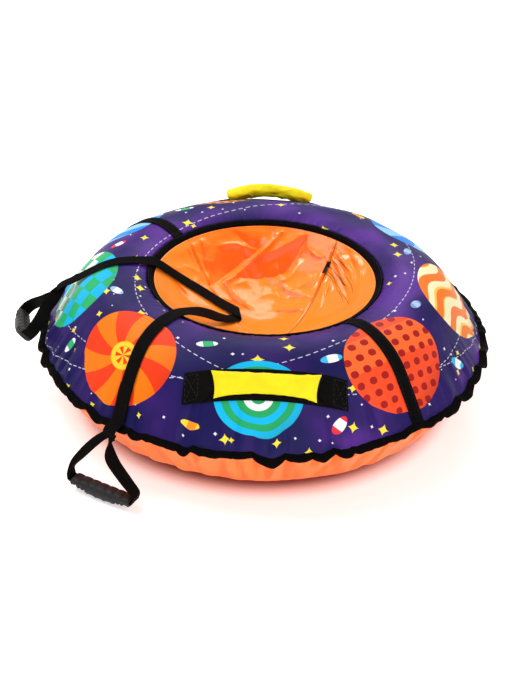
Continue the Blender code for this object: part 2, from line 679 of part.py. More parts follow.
def handle_frames(side, half_length, stations, arch):
    """Middle line of the handle's webbing and the directions across and up: three arrays (n, 3)."""
    path = handle_path(side, half_length, stations)
    places, normals = cover_frame(path)
    rise = HANDLE_REST + handle_rise(path[:, 0] - HANDLE_SHIFT, arch)
    centres = places + normals * rise[:, None]
    along = np.gradient(centres, axis=0)
    along /= np.linalg.norm(along, axis=1)[:, None]
    across = np.cross(normals, along)
    return centres, across, np.cross(along, across)


def pad_outline(half_width, height, low):
    """A rounded closed section, flatter below than above, starting level: (PAD_SIDES, 2)."""
    turn = np.linspace(0, 2 * math.pi, PAD_SIDES, endpoint=False)
    side, under = PAD_SQUARENESS
    across = np.sign(np.cos(turn)) * np.abs(np.cos(turn)) ** side * half_width
    level = np.sign(np.sin(turn)) * np.abs(np.sin(turn)) ** np.where(np.sin(turn) > 0, 1, under)
    below = 1 - PAD_TOP_SHARE
    up = (np.where(level > 0, PAD_TOP_SHARE, below) * level + below) * height + low
    return np.column_stack([across, up])


def handle_webbing(name, side, arch):
    """The arched strap: hugging the base strip at its ends, gathered and flat inside the pad."""
    half = HANDLE_LENGTH / 2
    distance = np.linspace(-half, half, HANDLE_STATIONS)
    root = half - HANDLE_ROOT_LENGTH
    gather = np.clip((root - np.abs(distance)) / (root - PAD_LENGTH / 2), 0, 1)
    width = HANDLE_WEBBING_WIDTH + (GATHERED_WIDTH - HANDLE_WEBBING_WIDTH) * gather
    gap = HANDLE_REST + handle_rise(distance, arch)
    path = handle_path(side, half, HANDLE_STATIONS)
    hugging = cover_ribbon_sections(path, width, gap, WEBBING_THICKNESS, WEBBING_COLUMNS)
    flat = ribbon_sections(*handle_frames(side, half, HANDLE_STATIONS, arch), width, WEBBING_THICKNESS,
                           WEBBING_COLUMNS)
    loft(f"{name}_webbing", hugging + gather[:, None, None] * (flat - hugging), BLACK_TAPE)


def padded_handle(name, side, arch):
    """Base strip, arched webbing, foam and its sewn sleeve, from the cover outwards."""
    path = handle_path(side, HANDLE_LENGTH / 2, HANDLE_STATIONS)
    base = cover_ribbon_sections(path, HANDLE_WEBBING_WIDTH, WORN_GAP, WEBBING_THICKNESS, WEBBING_COLUMNS)
    loft(f"{name}_base_strip", base, BLACK_TAPE)
    handle_webbing(name, side, arch)

    half = PAD_LENGTH / 2
    centres, across, up = handle_frames(side, half, PAD_STATIONS, arch)
    flare = np.abs(np.linspace(-1, 1, PAD_STATIONS)) ** 6
    half_width = PAD_HALF_WIDTH + (PAD_END_HALF_WIDTH - PAD_HALF_WIDTH) * flare
    height = PAD_HEIGHT + (PAD_END_HEIGHT - PAD_HEIGHT) * flare
    low = -PAD_WALL - WORN_GAP - SEWN_GAP
    shell = np.empty((PAD_STATIONS, PAD_SIDES, 3))
    filling = np.empty((PAD_STATIONS, PAD_SIDES, 3))
    for i in range(PAD_STATIONS):
        outline = pad_outline(half_width[i], height[i], low)
        shell[i] = centres[i] + outline[:, :1] * across[i] + outline[:, 1:] * up[i]
        inside = outline * FOAM_SHARE
        inside[:, 1] = np.maximum(inside[:, 1], WEBBING_THICKNESS + WORN_GAP)
        filling[i] = centres[i] + inside[:, :1] * across[i] + inside[:, 1:] * up[i]
    mesh = mesh_of(f"{name}_sleeve", shell, grid_faces(PAD_STATIONS, PAD_SIDES, True))
    face_out(mesh)
    sleeve = add_object(f"{name}_sleeve", mesh, YELLOW_CLOTH)
    solid = sleeve.modifiers.new("wall", "SOLIDIFY")
    solid.thickness = PAD_WALL
    solid.offset = -1
    loft(f"{name}_foam", filling[1:-1], FOAM)


# The hand grips, their loops and the leash


def grip_place(place, angle, lean):
    """Frame of a grip: +X along it, +Z from its back to its finger side."""
    return Matrix.Translation(place) @ Matrix.Rotation(angle, 4, "Z") @ Matrix.Rotation(lean, 4, "X")


def hand_grip(name, frame):
    """A bowed bar with finger hollows on its upper side and a slot from end to end for the webbing."""
    stations, sides = GRIP_STATIONS, GRIP_SIDES
    share = np.linspace(-1, 1, stations)
    height = GRIP_END_HEIGHT + (GRIP_HEIGHT - GRIP_END_HEIGHT) * (1 - share**2)
    thick = GRIP_THICKNESS * (1 - GRIP_END_THINNING * share**4)
    fingers = (1 + np.cos(GRIP_FINGERS * math.pi * (share + 1))) / 2 * (np.abs(share) < GRIP_FINGER_SHARE)
    top = GRIP_END_HEIGHT / 2 + GRIP_SCALLOP * (fingers - 1)
    turn = np.linspace(0, 2 * math.pi, sides, endpoint=False)
    sections = np.empty((stations, sides, 3))
    for i in range(stations):
        middle = top[i] - height[i] / 2
        sections[i, :, 0] = share[i] * GRIP_LENGTH / 2
        sections[i, :, 1] = np.sign(np.cos(turn)) * np.abs(np.cos(turn)) ** GRIP_SQUARENESS * thick[i] / 2
        sections[i, :, 2] = middle + np.sin(turn) * height[i] / 2
    made = loft(name, sections, GREY_PLASTIC)
    made.matrix_world = frame
    half_width = WEBBING_WIDTH / 2 + GRIP_SLOT_CLEARANCE
    half_height = WEBBING_THICKNESS / 2 + GRIP_SLOT_CLEARANCE
    slot = cutter(f"{name}_slot", box_mesh(f"{name}_slot", (-GRIP_LENGTH, -half_width, -half_height),
                                           (GRIP_LENGTH, half_width, half_height)))
    slot.matrix_world = frame
    boolean(made, slot, "DIFFERENCE")


def grip_loop(name, frame, knot):
    """Webbing from its sewn end down one side, through the grip's slot and up the other side."""
    end = GRIP_LENGTH / 2
    sewn = frame.inverted() @ Vector(knot)
    half = []
    for out_share, up_share in LOOP_SHARES:
        out = LOOP_PINCH / 2 + out_share * (end + LOOP_BEND)
        half.append((out, sewn.x * up_share, sewn.y * up_share**1.5, sewn.z * up_share))
    left = [(shift - out, across, up) for out, shift, across, up in half]
    right = [(shift + out, across, up) for out, shift, across, up in half]
    corner = [(end + LOOP_BEND * out_share, 0, LOOP_BEND * up_share) for out_share, up_share in LOOP_TURN_SHARES]
    slot = [(share * end, 0, 0) for share in LOOP_RUN_SHARES]
    route = (left + [(-x, y, z) for x, y, z in corner] + slot + corner[::-1] + right[::-1])
    turned_route = [tuple(frame @ Vector(point)) for point in route]
    side = tuple(frame.to_3x3() @ Vector((0, -1, 0)))
    webbing_along(name, turned_route, [side] * len(route))


def smooth_path(points):
    """A Catmull-Rom curve through rows of values, with ROUTE_STEPS steps from each row to the next."""
    ends = np.vstack([2 * points[0] - points[1], points, 2 * points[-1] - points[-2]])
    share = np.linspace(0, 1, ROUTE_STEPS, endpoint=False)[:, None]
    pieces = []
    for i in range(len(points) - 1):
        a, b, c, d = ends[i:i + 4]
        pieces.append((2 * b + (c - a) * share + (2 * a - 5 * b + 4 * c - d) * share**2
                       + (3 * b - a - 3 * c + d) * share**3) / 2)
    return np.vstack([*pieces, points[-1:]])


def webbing_along(name, route, sides):
    """Webbing along a route, given the vector to one edge, in half widths, at each point of the route."""
    rows = smooth_path(np.hstack([np.asarray(route, float), np.asarray(sides, float)]))
    path, edge = rows[:, :3], rows[:, 3:]
    up = np.cross(np.gradient(path, axis=0), edge)
    up /= np.linalg.norm(up, axis=1)[:, None]
    centres = path - up * WEBBING_THICKNESS / 2
    loft(name, ribbon_sections(centres, edge, up, WEBBING_WIDTH, WEBBING_THICKNESS), BLACK_TAPE)


def front_grip():
    """The grip that hangs from the outer seam to the ground, and its loop of webbing."""
    base = GRIP_HEIGHT - GRIP_END_HEIGHT / 2 + GRIP_SCALLOP + GROUND_GAP
    out = SEAM_RADIUS + FRONT_GRIP_OUT
    place = (out * math.cos(FRONT_GRIP_TURN), out * math.sin(FRONT_GRIP_TURN), base)
    frame = grip_place(place, FRONT_GRIP_ANGLE, 0)
    hand_grip("front_grip", frame)
    sewn = SEAM_RADIUS + LOOP_KNOT_OUT
    knot = (sewn * math.cos(LOOP_KNOT_ANGLE), sewn * math.sin(LOOP_KNOT_ANGLE), SEAM_HEIGHT - LOOP_KNOT_DROP)
    grip_loop("front_grip_loop", frame, knot)


def leash_grip():
    """The grip at the leash's free end, leaning on the webbing outside the seam."""
    place = (-SEAM_RADIUS - LEASH_GRIP_OUT, LEASH_GRIP_SHIFT, SEAM_HEIGHT + LEASH_GRIP_RISE)
    frame = grip_place(place, LEASH_GRIP_ANGLE, LEASH_GRIP_LEAN)
    hand_grip("leash_grip", frame)
    grip_loop("leash_grip_loop", frame, np.array(LEASH_KNOT_SHARES) * SEAM_RADIUS)


# Places of the leash from the outer seam over the seat, where it is folded back, and over the rim, as shares of the
# seam's radius. Its sides are vectors to one edge, in half widths, slanted where it is folded
LEASH_ROUTE_SHARES = (
    (-0.58778, -0.79111, 0.31378), (-0.57778, -0.75556, 0.36356), (-0.56444, -0.72000, 0.41689),
    (-0.54222, -0.67556, 0.48667), (-0.51111, -0.61778, 0.55644), (-0.47556, -0.56000, 0.59733),
    (-0.43556, -0.50000, 0.61667), (-0.39556, -0.43778, 0.61444), (-0.35556, -0.37333, 0.59711),
    (-0.31044, -0.31600, 0.56667), (-0.26511, -0.25844, 0.52889), (-0.22111, -0.20267, 0.48222),
    (-0.17978, -0.15022, 0.44000), (-0.14956, -0.11178, 0.41289), (-0.13044, -0.08733, 0.40267),
    (-0.11933, -0.07333, 0.39867), (-0.11111, -0.06289, 0.39844), (-0.10778, -0.05800, 0.40000),
    (-0.10689, -0.05356, 0.40400), (-0.10911, -0.04956, 0.40800), (-0.11356, -0.04578, 0.40956),
    (-0.12422, -0.03778, 0.40978), (-0.13822, -0.02689, 0.41022), (-0.16311, -0.00800, 0.41244),
    (-0.20200, 0.02178, 0.41889), (-0.24444, 0.04667, 0.43333), (-0.29556, 0.06889, 0.45511),
    (-0.35556, 0.08556, 0.48444), (-0.41111, 0.09222, 0.51956), (-0.46222, 0.08556, 0.56111),
    (-0.50222, 0.07333, 0.59289), (-0.53778, 0.05778, 0.60400), (-0.60000, 0.03778, 0.61667),
    (-0.66667, 0.02000, 0.61667), (-0.73333, 0.00889, 0.59822), (-0.80000, 0.00444, 0.56222),
    (-0.84889, -0.00667, 0.53778), (-0.88889, -0.01778, 0.51778),
)
LEASH_SIDES = (
    (-0.85, 0.49, -0.18), (-0.85, 0.51, -0.16), (-0.84, 0.53, -0.10),
    (-0.84, 0.53, -0.07), (-0.85, 0.53, -0.04), (-0.84, 0.54, -0.01),
    (-0.84, 0.55, -0.01), (-0.84, 0.54, 0.02), (-0.79, 0.61, 0.08),
    (-0.69, 0.68, 0.23), (-0.55, 0.70, 0.45), (-0.46, 0.73, 0.49),
    (-0.62, 0.71, 0.33), (-0.55, 0.90, 0.02), (-0.34, 1.18, -0.15),
    (-0.20, 1.36, -0.13), (-0.19, 1.40, 0.00), (-0.19, 1.40, 0.00),
    (-0.19, 1.40, 0.00), (-0.19, 1.40, 0.00), (-0.19, 1.40, 0.00),
    (-0.15, 1.37, 0.02), (0.01, 1.25, 0.04), (0.33, 1.01, 0.00),
    (0.54, 0.84, -0.08), (0.43, 0.90, -0.07), (0.32, 0.95, -0.02),
    (0.21, 0.98, 0.02), (0.06, 0.99, 0.08), (-0.06, 0.98, 0.18),
    (-0.22, 0.95, 0.23), (-0.31, 0.94, 0.13), (-0.28, 0.96, 0.01),
    (-0.21, 0.98, -0.03), (-0.11, 0.99, -0.02), (-0.12, 0.99, -0.02),
    (-0.22, 0.97, -0.04), (-0.24, 0.97, -0.05),
)
LEASH_KNOT_SHARES = (-0.89200, -0.01867, 0.51622)


def leash():
    webbing_along("leash_webbing", np.array(LEASH_ROUTE_SHARES) * SEAM_RADIUS, LEASH_SIDES)


def build():
    for old in list(bpy.data.objects):
        bpy.data.objects.remove(old)
    for name in ("snow_tube", "cutters"):
        bpy.context.scene.collection.children.link(bpy.data.collections.new(name))
    top_cover()
    bottom_cover()
    rim_tape()
    opening_tape()
    inner_tube()
    valve()
    seat()
    zip_chain()
    zip_slider()
    sewn_strap("back_left_strap", BACK_STRAP_ANGLE)
    sewn_strap("front_right_strap", FRONT_STRAP_ANGLE)
    padded_handle("front_handle", -1, FRONT_ARCH)
    padded_handle("rear_handle", 1, REAR_ARCH)
    front_grip()
    leash_grip()
    leash()


build()
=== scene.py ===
"""The snow tube's visible surfaces: printed cover, slick base, gathered tapes, hanging seat, zip fastener, webbing,
padded handles, hand grips and tow leash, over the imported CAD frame.

Metres, +Z up, +Y away from the viewer, origin in the middle of the base on the ground.
"""

import contextlib
import math

import bmesh
import bpy
import numpy as np
from mathutils import Matrix, Vector


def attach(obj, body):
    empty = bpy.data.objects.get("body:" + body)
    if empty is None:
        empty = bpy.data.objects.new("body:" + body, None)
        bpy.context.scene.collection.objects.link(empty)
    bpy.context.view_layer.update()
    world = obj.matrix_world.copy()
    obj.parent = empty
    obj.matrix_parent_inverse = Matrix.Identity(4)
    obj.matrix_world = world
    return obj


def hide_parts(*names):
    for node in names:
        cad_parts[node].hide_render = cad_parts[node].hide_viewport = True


bl_info = {
    "name": "Snow Tube",
    "version": (1, 0, 0),
    "blender": (4, 5, 0),
    "location": "3D View > Sidebar > Snow Tube",
    "description": "Builds the surfaces and finishes of an inflatable snow tube over its CAD frame",
    "category": "Add Mesh",
}

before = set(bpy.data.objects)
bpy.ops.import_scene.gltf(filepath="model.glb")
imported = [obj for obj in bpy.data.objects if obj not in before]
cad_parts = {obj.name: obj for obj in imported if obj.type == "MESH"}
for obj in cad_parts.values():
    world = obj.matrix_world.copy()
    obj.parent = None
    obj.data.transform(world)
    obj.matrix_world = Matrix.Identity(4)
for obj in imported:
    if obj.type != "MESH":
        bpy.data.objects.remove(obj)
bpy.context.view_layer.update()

# The inflated section, as quarter ellipses round one centre, and the seam's flange
SECTION_RADIUS, SECTION_HEIGHT = 0.285, 0.110
SECTION_RISE, SECTION_OUTWARD, SECTION_INWARD = 0.166, 0.136, 0.118
SEAM_RADIUS, SEAM_HEIGHT, FLANGE_RADIUS = 0.450, 0.132, 0.446
CLOTH_WALL, SEWN_GAP, WORN_GAP = 0.0012, 0.0003, 0.0008
OPENING_RADIUS, OPENING_TAPE_WIDTH = 0.2375, 0.0135
FLANGE_TOP = SEAM_HEIGHT + CLOTH_WALL + SEWN_GAP / 2
FLANGE_BASE = SEAM_HEIGHT - CLOTH_WALL - SEWN_GAP / 2

# The seat's plain dish, a part of a sphere, with its two seams as directions and distances from the axis
SEAT_RIM_RADIUS, SEAT_SPHERE, SEAT_SPHERE_HEIGHT = 0.2227, 0.334237, 0.504444
LEFT_SEAM_OFFSET, LEFT_SEAM_ANGLE = 0.071, math.radians(208.7)
ZIP_OFFSET, ZIP_ANGLE = 0.084, math.radians(-20.3)

# Angles of the two sewn straps round the axis in degrees, the webbing's thickness, half the width that the leash and
# the grips' loops show, and the distance from one stitch to the next in stitch lengths
STRAPS = {"back_left_strap": 140.5, "front_right_strap": -48.5}
WEBBING_THICKNESS, LEASH_HALF_WIDTH, LOOP_HALF_WIDTH = 0.0014, 0.0142, 0.0130
STITCH_PITCH = 1.65

# The two handles, as lines across the front and the rear of the cover
HANDLE_DISTANCE, HANDLE_SHIFT, HANDLE_LENGTH, HANDLE_ROOT = 0.358, 0.006, 0.300, 0.034
HANDLE_STRIP_WIDTH, HANDLE_DENT, HANDLE_BOW = 0.060, 0.0055, 0.008
# Of each handle: which side it is on, length of the sleeve, rise of its webbing, half width of the sleeve in the middle
# and at its ends, its height there and there, lean of the lift towards the outside, and depth of the wrinkles
HANDLES = {
    "front_handle": (-1, 0.188, 0.0060, 0.0188, 0.0255, 0.0190, 0.0125, 0.55, 0.0012),
    "rear_handle": (1, 0.171, 0.0148, 0.0180, 0.0205, 0.0245, 0.0240, 0.0, 0.0030),
}

# The hand grips and the sewn ends of their loops
GRIP_LENGTH, GRIP_HEIGHT, GRIP_END_HEIGHT, GRIP_THICKNESS = 0.134, 0.026, 0.017, 0.032
GRIP_FINGER_DEPTH = 0.0024
FRONT_KNOT = (-0.279150, -0.377250, 0.128800)
LEASH_KNOT = (-0.4014, -0.0084, 0.2323)

# Places of the leash from the outer seam over the seat, where it is folded back, and over the rim
# Its sides are vectors to one edge, in half widths, slanted where it is folded
LEASH_ROUTE = (
    (-0.2645, -0.3560, 0.1412), (-0.2600, -0.3400, 0.1636), (-0.2540, -0.3240, 0.1876),
    (-0.2440, -0.3040, 0.2190), (-0.2300, -0.2780, 0.2504), (-0.2140, -0.2520, 0.2688),
    (-0.1960, -0.2250, 0.2775), (-0.1780, -0.1970, 0.2765), (-0.1600, -0.1680, 0.2687),
    (-0.1397, -0.1422, 0.2550), (-0.1193, -0.1163, 0.2380), (-0.0995, -0.0912, 0.2170),
    (-0.0809, -0.0676, 0.1980), (-0.0673, -0.0503, 0.1858), (-0.0587, -0.0393, 0.1812),
    (-0.0537, -0.0330, 0.1794), (-0.0500, -0.0283, 0.1793), (-0.0485, -0.0261, 0.1800),
    (-0.0481, -0.0241, 0.1818), (-0.0491, -0.0223, 0.1836), (-0.0511, -0.0206, 0.1843),
    (-0.0559, -0.0170, 0.1844), (-0.0622, -0.0121, 0.1846), (-0.0734, -0.0036, 0.1856),
    (-0.0909, 0.0098, 0.1885), (-0.1100, 0.0210, 0.1950), (-0.1330, 0.0310, 0.2048),
    (-0.1600, 0.0385, 0.2180), (-0.1850, 0.0415, 0.2338), (-0.2080, 0.0385, 0.2525),
    (-0.2260, 0.0330, 0.2668), (-0.2420, 0.0260, 0.2718), (-0.2700, 0.0170, 0.2775),
    (-0.3000, 0.0090, 0.2775), (-0.3300, 0.0040, 0.2692), (-0.3600, 0.0020, 0.2530),
    (-0.3820, -0.0030, 0.2420), (-0.4010, -0.0080, 0.2345), (-0.4110, -0.0085, 0.2290),
    (-0.4200, -0.0085, 0.2215),
)
LEASH_SIDES = (
    (-0.85, 0.49, -0.18), (-0.85, 0.51, -0.16), (-0.84, 0.53, -0.10),
    (-0.84, 0.53, -0.07), (-0.85, 0.53, -0.04), (-0.84, 0.54, -0.01),
    (-0.84, 0.55, -0.01), (-0.84, 0.54, 0.02), (-0.79, 0.61, 0.08),
    (-0.69, 0.68, 0.23), (-0.55, 0.70, 0.45), (-0.46, 0.73, 0.49),
    (-0.62, 0.71, 0.33), (-0.55, 0.90, 0.02), (-0.34, 1.18, -0.15),
    (-0.20, 1.36, -0.13), (-0.19, 1.40, 0.00), (-0.19, 1.40, 0.00),
    (-0.19, 1.40, 0.00), (-0.19, 1.40, 0.00), (-0.19, 1.40, 0.00),
    (-0.15, 1.37, 0.02), (0.01, 1.25, 0.04), (0.33, 1.01, 0.00),
    (0.54, 0.84, -0.08), (0.43, 0.90, -0.07), (0.32, 0.95, -0.02),
    (0.21, 0.98, 0.02), (0.06, 0.99, 0.08), (-0.06, 0.98, 0.18),
    (-0.22, 0.95, 0.23), (-0.31, 0.94, 0.13), (-0.28, 0.96, 0.01),
    (-0.21, 0.98, -0.03), (-0.11, 0.99, -0.02), (-0.12, 0.99, -0.02),
    (-0.22, 0.97, -0.04), (-0.22, 0.97, -0.05), (-0.15, 0.98, -0.05),
    (-0.12, 0.98, -0.05),
)

# The camera's view of the object
CAMERA_PLACE = (-0.01024, -2.63566, 1.74909)
CAMERA_DOWN, CAMERA_ROLL = math.radians(32.104), math.radians(1.532)
CAMERA_LENS, CAMERA_SENSOR = 78.49, 36.0


# Numbers and meshes


def unit(vectors):
    """Vectors made one long."""
    return vectors / np.linalg.norm(vectors, axis=-1, keepdims=True)


def eased(share):
    """0 below 0 and 1 above 1, with a cubic between that starts and ends level."""
    share = np.clip(share, 0, 1)
    return share * share * (3 - 2 * share)


def lumps(places, size, seed=0):
    """Smooth noise from about -1 to 1: a random slope at each corner of a lattice of cells, blended by a quintic.
    A slope is read from the bits of a number made by mixing the corner's three counts and the seed."""
    places = np.asarray(places, float) / size
    cell = np.floor(places).astype(np.int64)
    share = places - cell
    fade = share**3 * (share * (share * 6 - 15) + 10)
    total = np.zeros(places.shape[:-1])
    for corner in np.ndindex(2, 2, 2):
        code = (cell + corner) @ np.array((73856093, 19349663, 83492791)) + seed * 40503
        code = (code ^ (code >> 13)) * 1274126177 & 0x7FFFFFFFFFFF
        code ^= code >> 17
        level = (code & 1023) / 511.5 - 1
        turn = ((code >> 10) & 1023) / 1024 * 2 * math.pi
        ring = np.sqrt(1 - level**2)
        slope = np.stack([ring * np.cos(turn), ring * np.sin(turn), level], axis=-1)
        weight = np.prod(np.where(corner, fade, 1 - fade), axis=-1)
        total += (slope * (share - corner)).sum(-1) * weight
    return total * 1.6


def once_round(count):
    """Angles at equal steps once round."""
    return np.linspace(0, 2 * math.pi, count, endpoint=False)


def around(turn, radius, height=0.0):
    """Places on circles round the axis, as an array (..., 3)."""
    turn, radius, height = np.broadcast_arrays(turn, radius, height)
    return np.stack([radius * np.cos(turn), radius * np.sin(turn), height], axis=-1)


def paired(first, second):
    """Two arrays made one shape and joined to pairs, such as the places of a map."""
    return np.stack(np.broadcast_arrays(first, second), axis=-1)


def signed_power(values, power):
    """Values to a power with their signs kept: below 1 it squares off the sines of a round section."""
    return np.sign(values) * np.abs(values) ** power


def way_along(points):
    """The way from the first of points (n, k) along the line through them to each."""
    return np.append(0, np.cumsum(np.linalg.norm(np.diff(points, axis=0), axis=1)))


def spaced(points, count):
    """The same line through points (n, k), as a number of points at equal distances along it, and the way to each."""
    points = np.asarray(points, float)
    walked = way_along(points)
    wanted = np.linspace(0, walked[-1], count)
    return np.column_stack([np.interp(wanted, walked, column) for column in points.T]), wanted


def length_of(path):
    """Length of the line through points."""
    return float(np.linalg.norm(np.diff(np.asarray(path, float), axis=0), axis=1).sum())


def smooth_path(rows, steps):
    """A Catmull-Rom curve through rows of values, with a number of steps from each row to the next."""
    ends = np.vstack([2 * rows[0] - rows[1], rows, 2 * rows[-1] - rows[-2]])
    share = np.linspace(0, 1, steps, endpoint=False)[:, None]
    pieces = []
    for i in range(len(rows) - 1):
        a, b, c, d = ends[i:i + 4]
        pieces.append((2 * b + (c - a) * share + (2 * a - 5 * b + 4 * c - d) * share**2
                       + (3 * b - a - 3 * c + d) * share**3) / 2)
    return np.vstack([*pieces, rows[-1:]])


def grid_mesh(name, grid, closed_rows=False, closed_columns=False, caps=False, uv=None):
    """A mesh over a grid of places (rows, columns, 3), joined round where closed, with flat ends where capped."""
    rows, columns = grid.shape[:2]
    index = np.arange(rows * columns).reshape(rows, columns)
    if closed_rows:
        index = np.vstack([index, index[:1]])
    if closed_columns:
        index = np.hstack([index, index[:, :1]])
    quads = np.stack([index[:-1, :-1], index[:-1, 1:], index[1:, 1:], index[1:, :-1]], axis=-1).reshape(-1, 4)
    faces = quads.tolist()
    if caps:
        faces += [list(range(columns - 1, -1, -1)), list(range((rows - 1) * columns, rows * columns))]
    places = grid.reshape(-1, 3)
    mesh = bpy.data.meshes.new(name)
    mesh.from_pydata(places.tolist(), [], faces)
    if uv is not None:
        corners = np.empty(len(mesh.loops), np.int32)
        mesh.loops.foreach_get("vertex_index", corners)
        layer = mesh.uv_layers.new(name="cloth")
        layer.data.foreach_set("uv", uv.reshape(-1, 2)[corners].astype(np.float32).ravel())
    mesh.update()
    return mesh


@contextlib.contextmanager
def editing(mesh):
    """A mesh as a shape whose faces can be cut, filled and turned, and which goes back into the mesh at the end."""
    shape = bmesh.new()
    shape.from_mesh(mesh)
    yield shape
    shape.to_mesh(mesh)
    shape.free()


def outwards(mesh):
    """The same closed mesh with all faces turned to point out, told by the sign of its volume."""
    with editing(mesh) as shape:
        bmesh.ops.recalc_face_normals(shape, faces=shape.faces)
        if shape.calc_volume(signed=True) < 0:
            bmesh.ops.reverse_faces(shape, faces=shape.faces)
    return mesh


def blocks_mesh(name, points, faces):
    """Many small closed blocks as one mesh, from their corners and faces."""
    mesh = bpy.data.meshes.new(name)
    mesh.from_pydata(points.reshape(-1, 3).tolist(), [], faces)
    mesh.update()
    return outwards(mesh)


def fill_middle(shape):
    """Closes the small hole that rings leave round the axis."""
    middle = [edge for edge in shape.edges if edge.is_boundary and edge.verts[0].co.xy.length < 0.05]
    bmesh.ops.holes_fill(shape, edges=middle)


def face_along_z(shape, faces, way):
    """Turns all faces of an open shape to one side, so that the faces given look up for 1 and down for -1."""
    bmesh.ops.recalc_face_normals(shape, faces=shape.faces)
    if way * sum(face.normal.z for face in faces) < 0:
        bmesh.ops.reverse_faces(shape, faces=shape.faces)


def keep_painted_fold_shade(mesh, deep):
    """Stores the painted shade of the folds at each vertex, from 0 to 1, for the sheets' materials to draw as a deeper
    colour.
    """
    mesh.attributes.new("painted_fold_shade", "FLOAT", "POINT").data.foreach_set("value", deep.astype(np.float32).ravel())


def add_piece(name, mesh, material, body="tube", replaces=(), smooth=True, sharp=None):
    """A new piece of the object that rides on a body, stands for CAD nodes and takes a finish."""
    piece = bpy.data.objects.new(name, mesh)
    bpy.context.scene.collection.objects.link(piece)
    mesh.materials.append(material)
    if smooth:
        mesh.shade_smooth()
    if sharp is not None:
        mesh.set_sharp_from_angle(angle=math.radians(sharp))
    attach(piece, body)
    if replaces:
        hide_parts(*replaces)
    return piece


def add_webbing(name, mesh, material, body="tube", replaces=()):
    """A piece of black webbing, with a sharp turn at its edges."""
    return add_piece(name, mesh, material, body=body, replaces=replaces, sharp=50)


def thicken(piece, thickness):
    """Gives a sheet a wall inwards from its face."""
    wall = piece.modifiers.new("wall", "SOLIDIFY")
    wall.thickness = thickness
    wall.offset = -1.0
    wall.use_even_offset = True


# Shader nodes


def new_material(name):
    """An empty material: its tree and its shader, already joined to the output."""
    made = bpy.data.materials.new(name)
    made.use_nodes = True
    return made, made.node_tree, made.node_tree.nodes["Principled BSDF"]


def put(tree, value, socket):
    """Joins a socket to another, or sets it to a number or colour."""
    if isinstance(value, bpy.types.NodeSocket):
        tree.links.new(value, socket)
    elif value is not None:
        socket.default_value = value


def put_all(tree, made, sockets):
    """Joins or sets a node's inputs by name."""
    for name, value in sockets.items():
        put(tree, value, made.inputs[name])
    return made


def node(tree, kind, *values, **settings):
    """A new node with its settings and, in order, its inputs as numbers, colours or sockets."""
    made = tree.nodes.new("ShaderNode" + kind)
    for key, value in settings.items():
        setattr(made, key, value)
    for value, socket in zip(values, made.inputs):
        put(tree, value, socket)
    return made


def calc(tree, operation, *values):
    """A sum with numbers."""
    return node(tree, "Math", *values, operation=operation).outputs[0]


def vector_calc(tree, operation, *values):
    """A sum with vectors, which gives a number for a length and for a dot product."""
    outputs = node(tree, "VectorMath", *values, operation=operation).outputs
    return outputs["Value" if operation in ("LENGTH", "DOT_PRODUCT") else "Vector"]


def axes_of(tree, place):
    """The three parts of a place."""
    return node(tree, "SeparateXYZ", place).outputs[:]


def local_place(tree, place, centre, turn, size):
    """Places read from a centre over the plan, turned back and in units of a size each way."""
    return node(tree, "Mapping", place, (*centre, 0), (0, 0, turn), (*size, 1), vector_type="TEXTURE").outputs[0]


def toned(colour, by, plus=0.0):
    """A colour made darker or paler: each part times one number plus another, and no more than 1."""
    return tuple(min(1.0, by * part + plus) for part in colour)


def mixed(tree, share, first, second):
    """A colour between two, by a share."""
    made = tree.nodes.new("ShaderNodeMix")
    made.data_type = "RGBA"
    for value, name in ((share, "Factor_Float"), (first, "A_Color"), (second, "B_Color")):
        socket = next(s for s in made.inputs if s.identifier == name)
        if not isinstance(value, (bpy.types.NodeSocket, float, int)):
            value = (*value[:3], 1.0)
        put(tree, value, socket)
    return next(s for s in made.outputs if s.identifier == "Result_Color")


def noise(tree, place, scale, detail=2.0, roughness=0.5, distortion=0.0):
    """Noise from 0 to 1, most of it near 0.5."""
    sockets = {"Vector": place, "Scale": scale, "Detail": detail, "Roughness": roughness, "Distortion": distortion}
    return put_all(tree, node(tree, "TexNoise"), sockets).outputs["Fac"]


def ramp(tree, value, low, high, to_low=0.0, to_high=1.0):
    """A smooth step from one value to another, as an input goes from low to high."""
    sockets = {"Value": value, "From Min": low, "From Max": high, "To Min": to_low, "To Max": to_high}
    return put_all(tree, node(tree, "MapRange", interpolation_type="SMOOTHSTEP"), sockets).outputs["Result"]


def bump(tree, shader, height, strength, distance):
    """Gives a shader the small relief of a height."""
    made = put_all(tree, node(tree, "Bump"), {"Height": height, "Strength": strength, "Distance": distance})
    put(tree, made.outputs["Normal"], shader.inputs["Normal"])


def dress(tree, shader, colour, rough, gloss, more=None):
    """Joins or sets a shader's colour and roughness, its constant specular level and more sockets by name."""
    put_all(tree, shader, {"Base Color": colour, "Roughness": rough, "Specular IOR Level": gloss, **(more or {})})


def object_place(tree):
    """Places in the object's own frame, which is the CAD frame."""
    return node(tree, "TexCoord").outputs["Object"]


def cloth_place(tree):
    """Places on the piece's own map, in metres for webbing."""
    return node(tree, "UVMap", uv_map="cloth").outputs["UV"]


def scaled(tree, place, by):
    """Places times a number."""
    return vector_calc(tree, "MULTIPLY", place, (by, by, by))


def cross_weave(tree, place, thread):
    """A fine cross weave: the product of two sines, one each way, with waves as wide as a thread."""
    x, y, _ = axes_of(tree, scaled(tree, place, 2 * math.pi / thread))
    return calc(tree, "MULTIPLY", calc(tree, "SINE", x), calc(tree, "SINE", y))


def fold_shade_share(tree, drift, by):
    """The painted fold shade that the mesh stores, with a slow drift on it."""
    fold = node(tree, "Attribute", attribute_name="painted_fold_shade").outputs["Fac"]
    return calc(tree, "MULTIPLY_ADD", calc(tree, "SUBTRACT", drift, 0.5), by, fold)


# The cover's shape


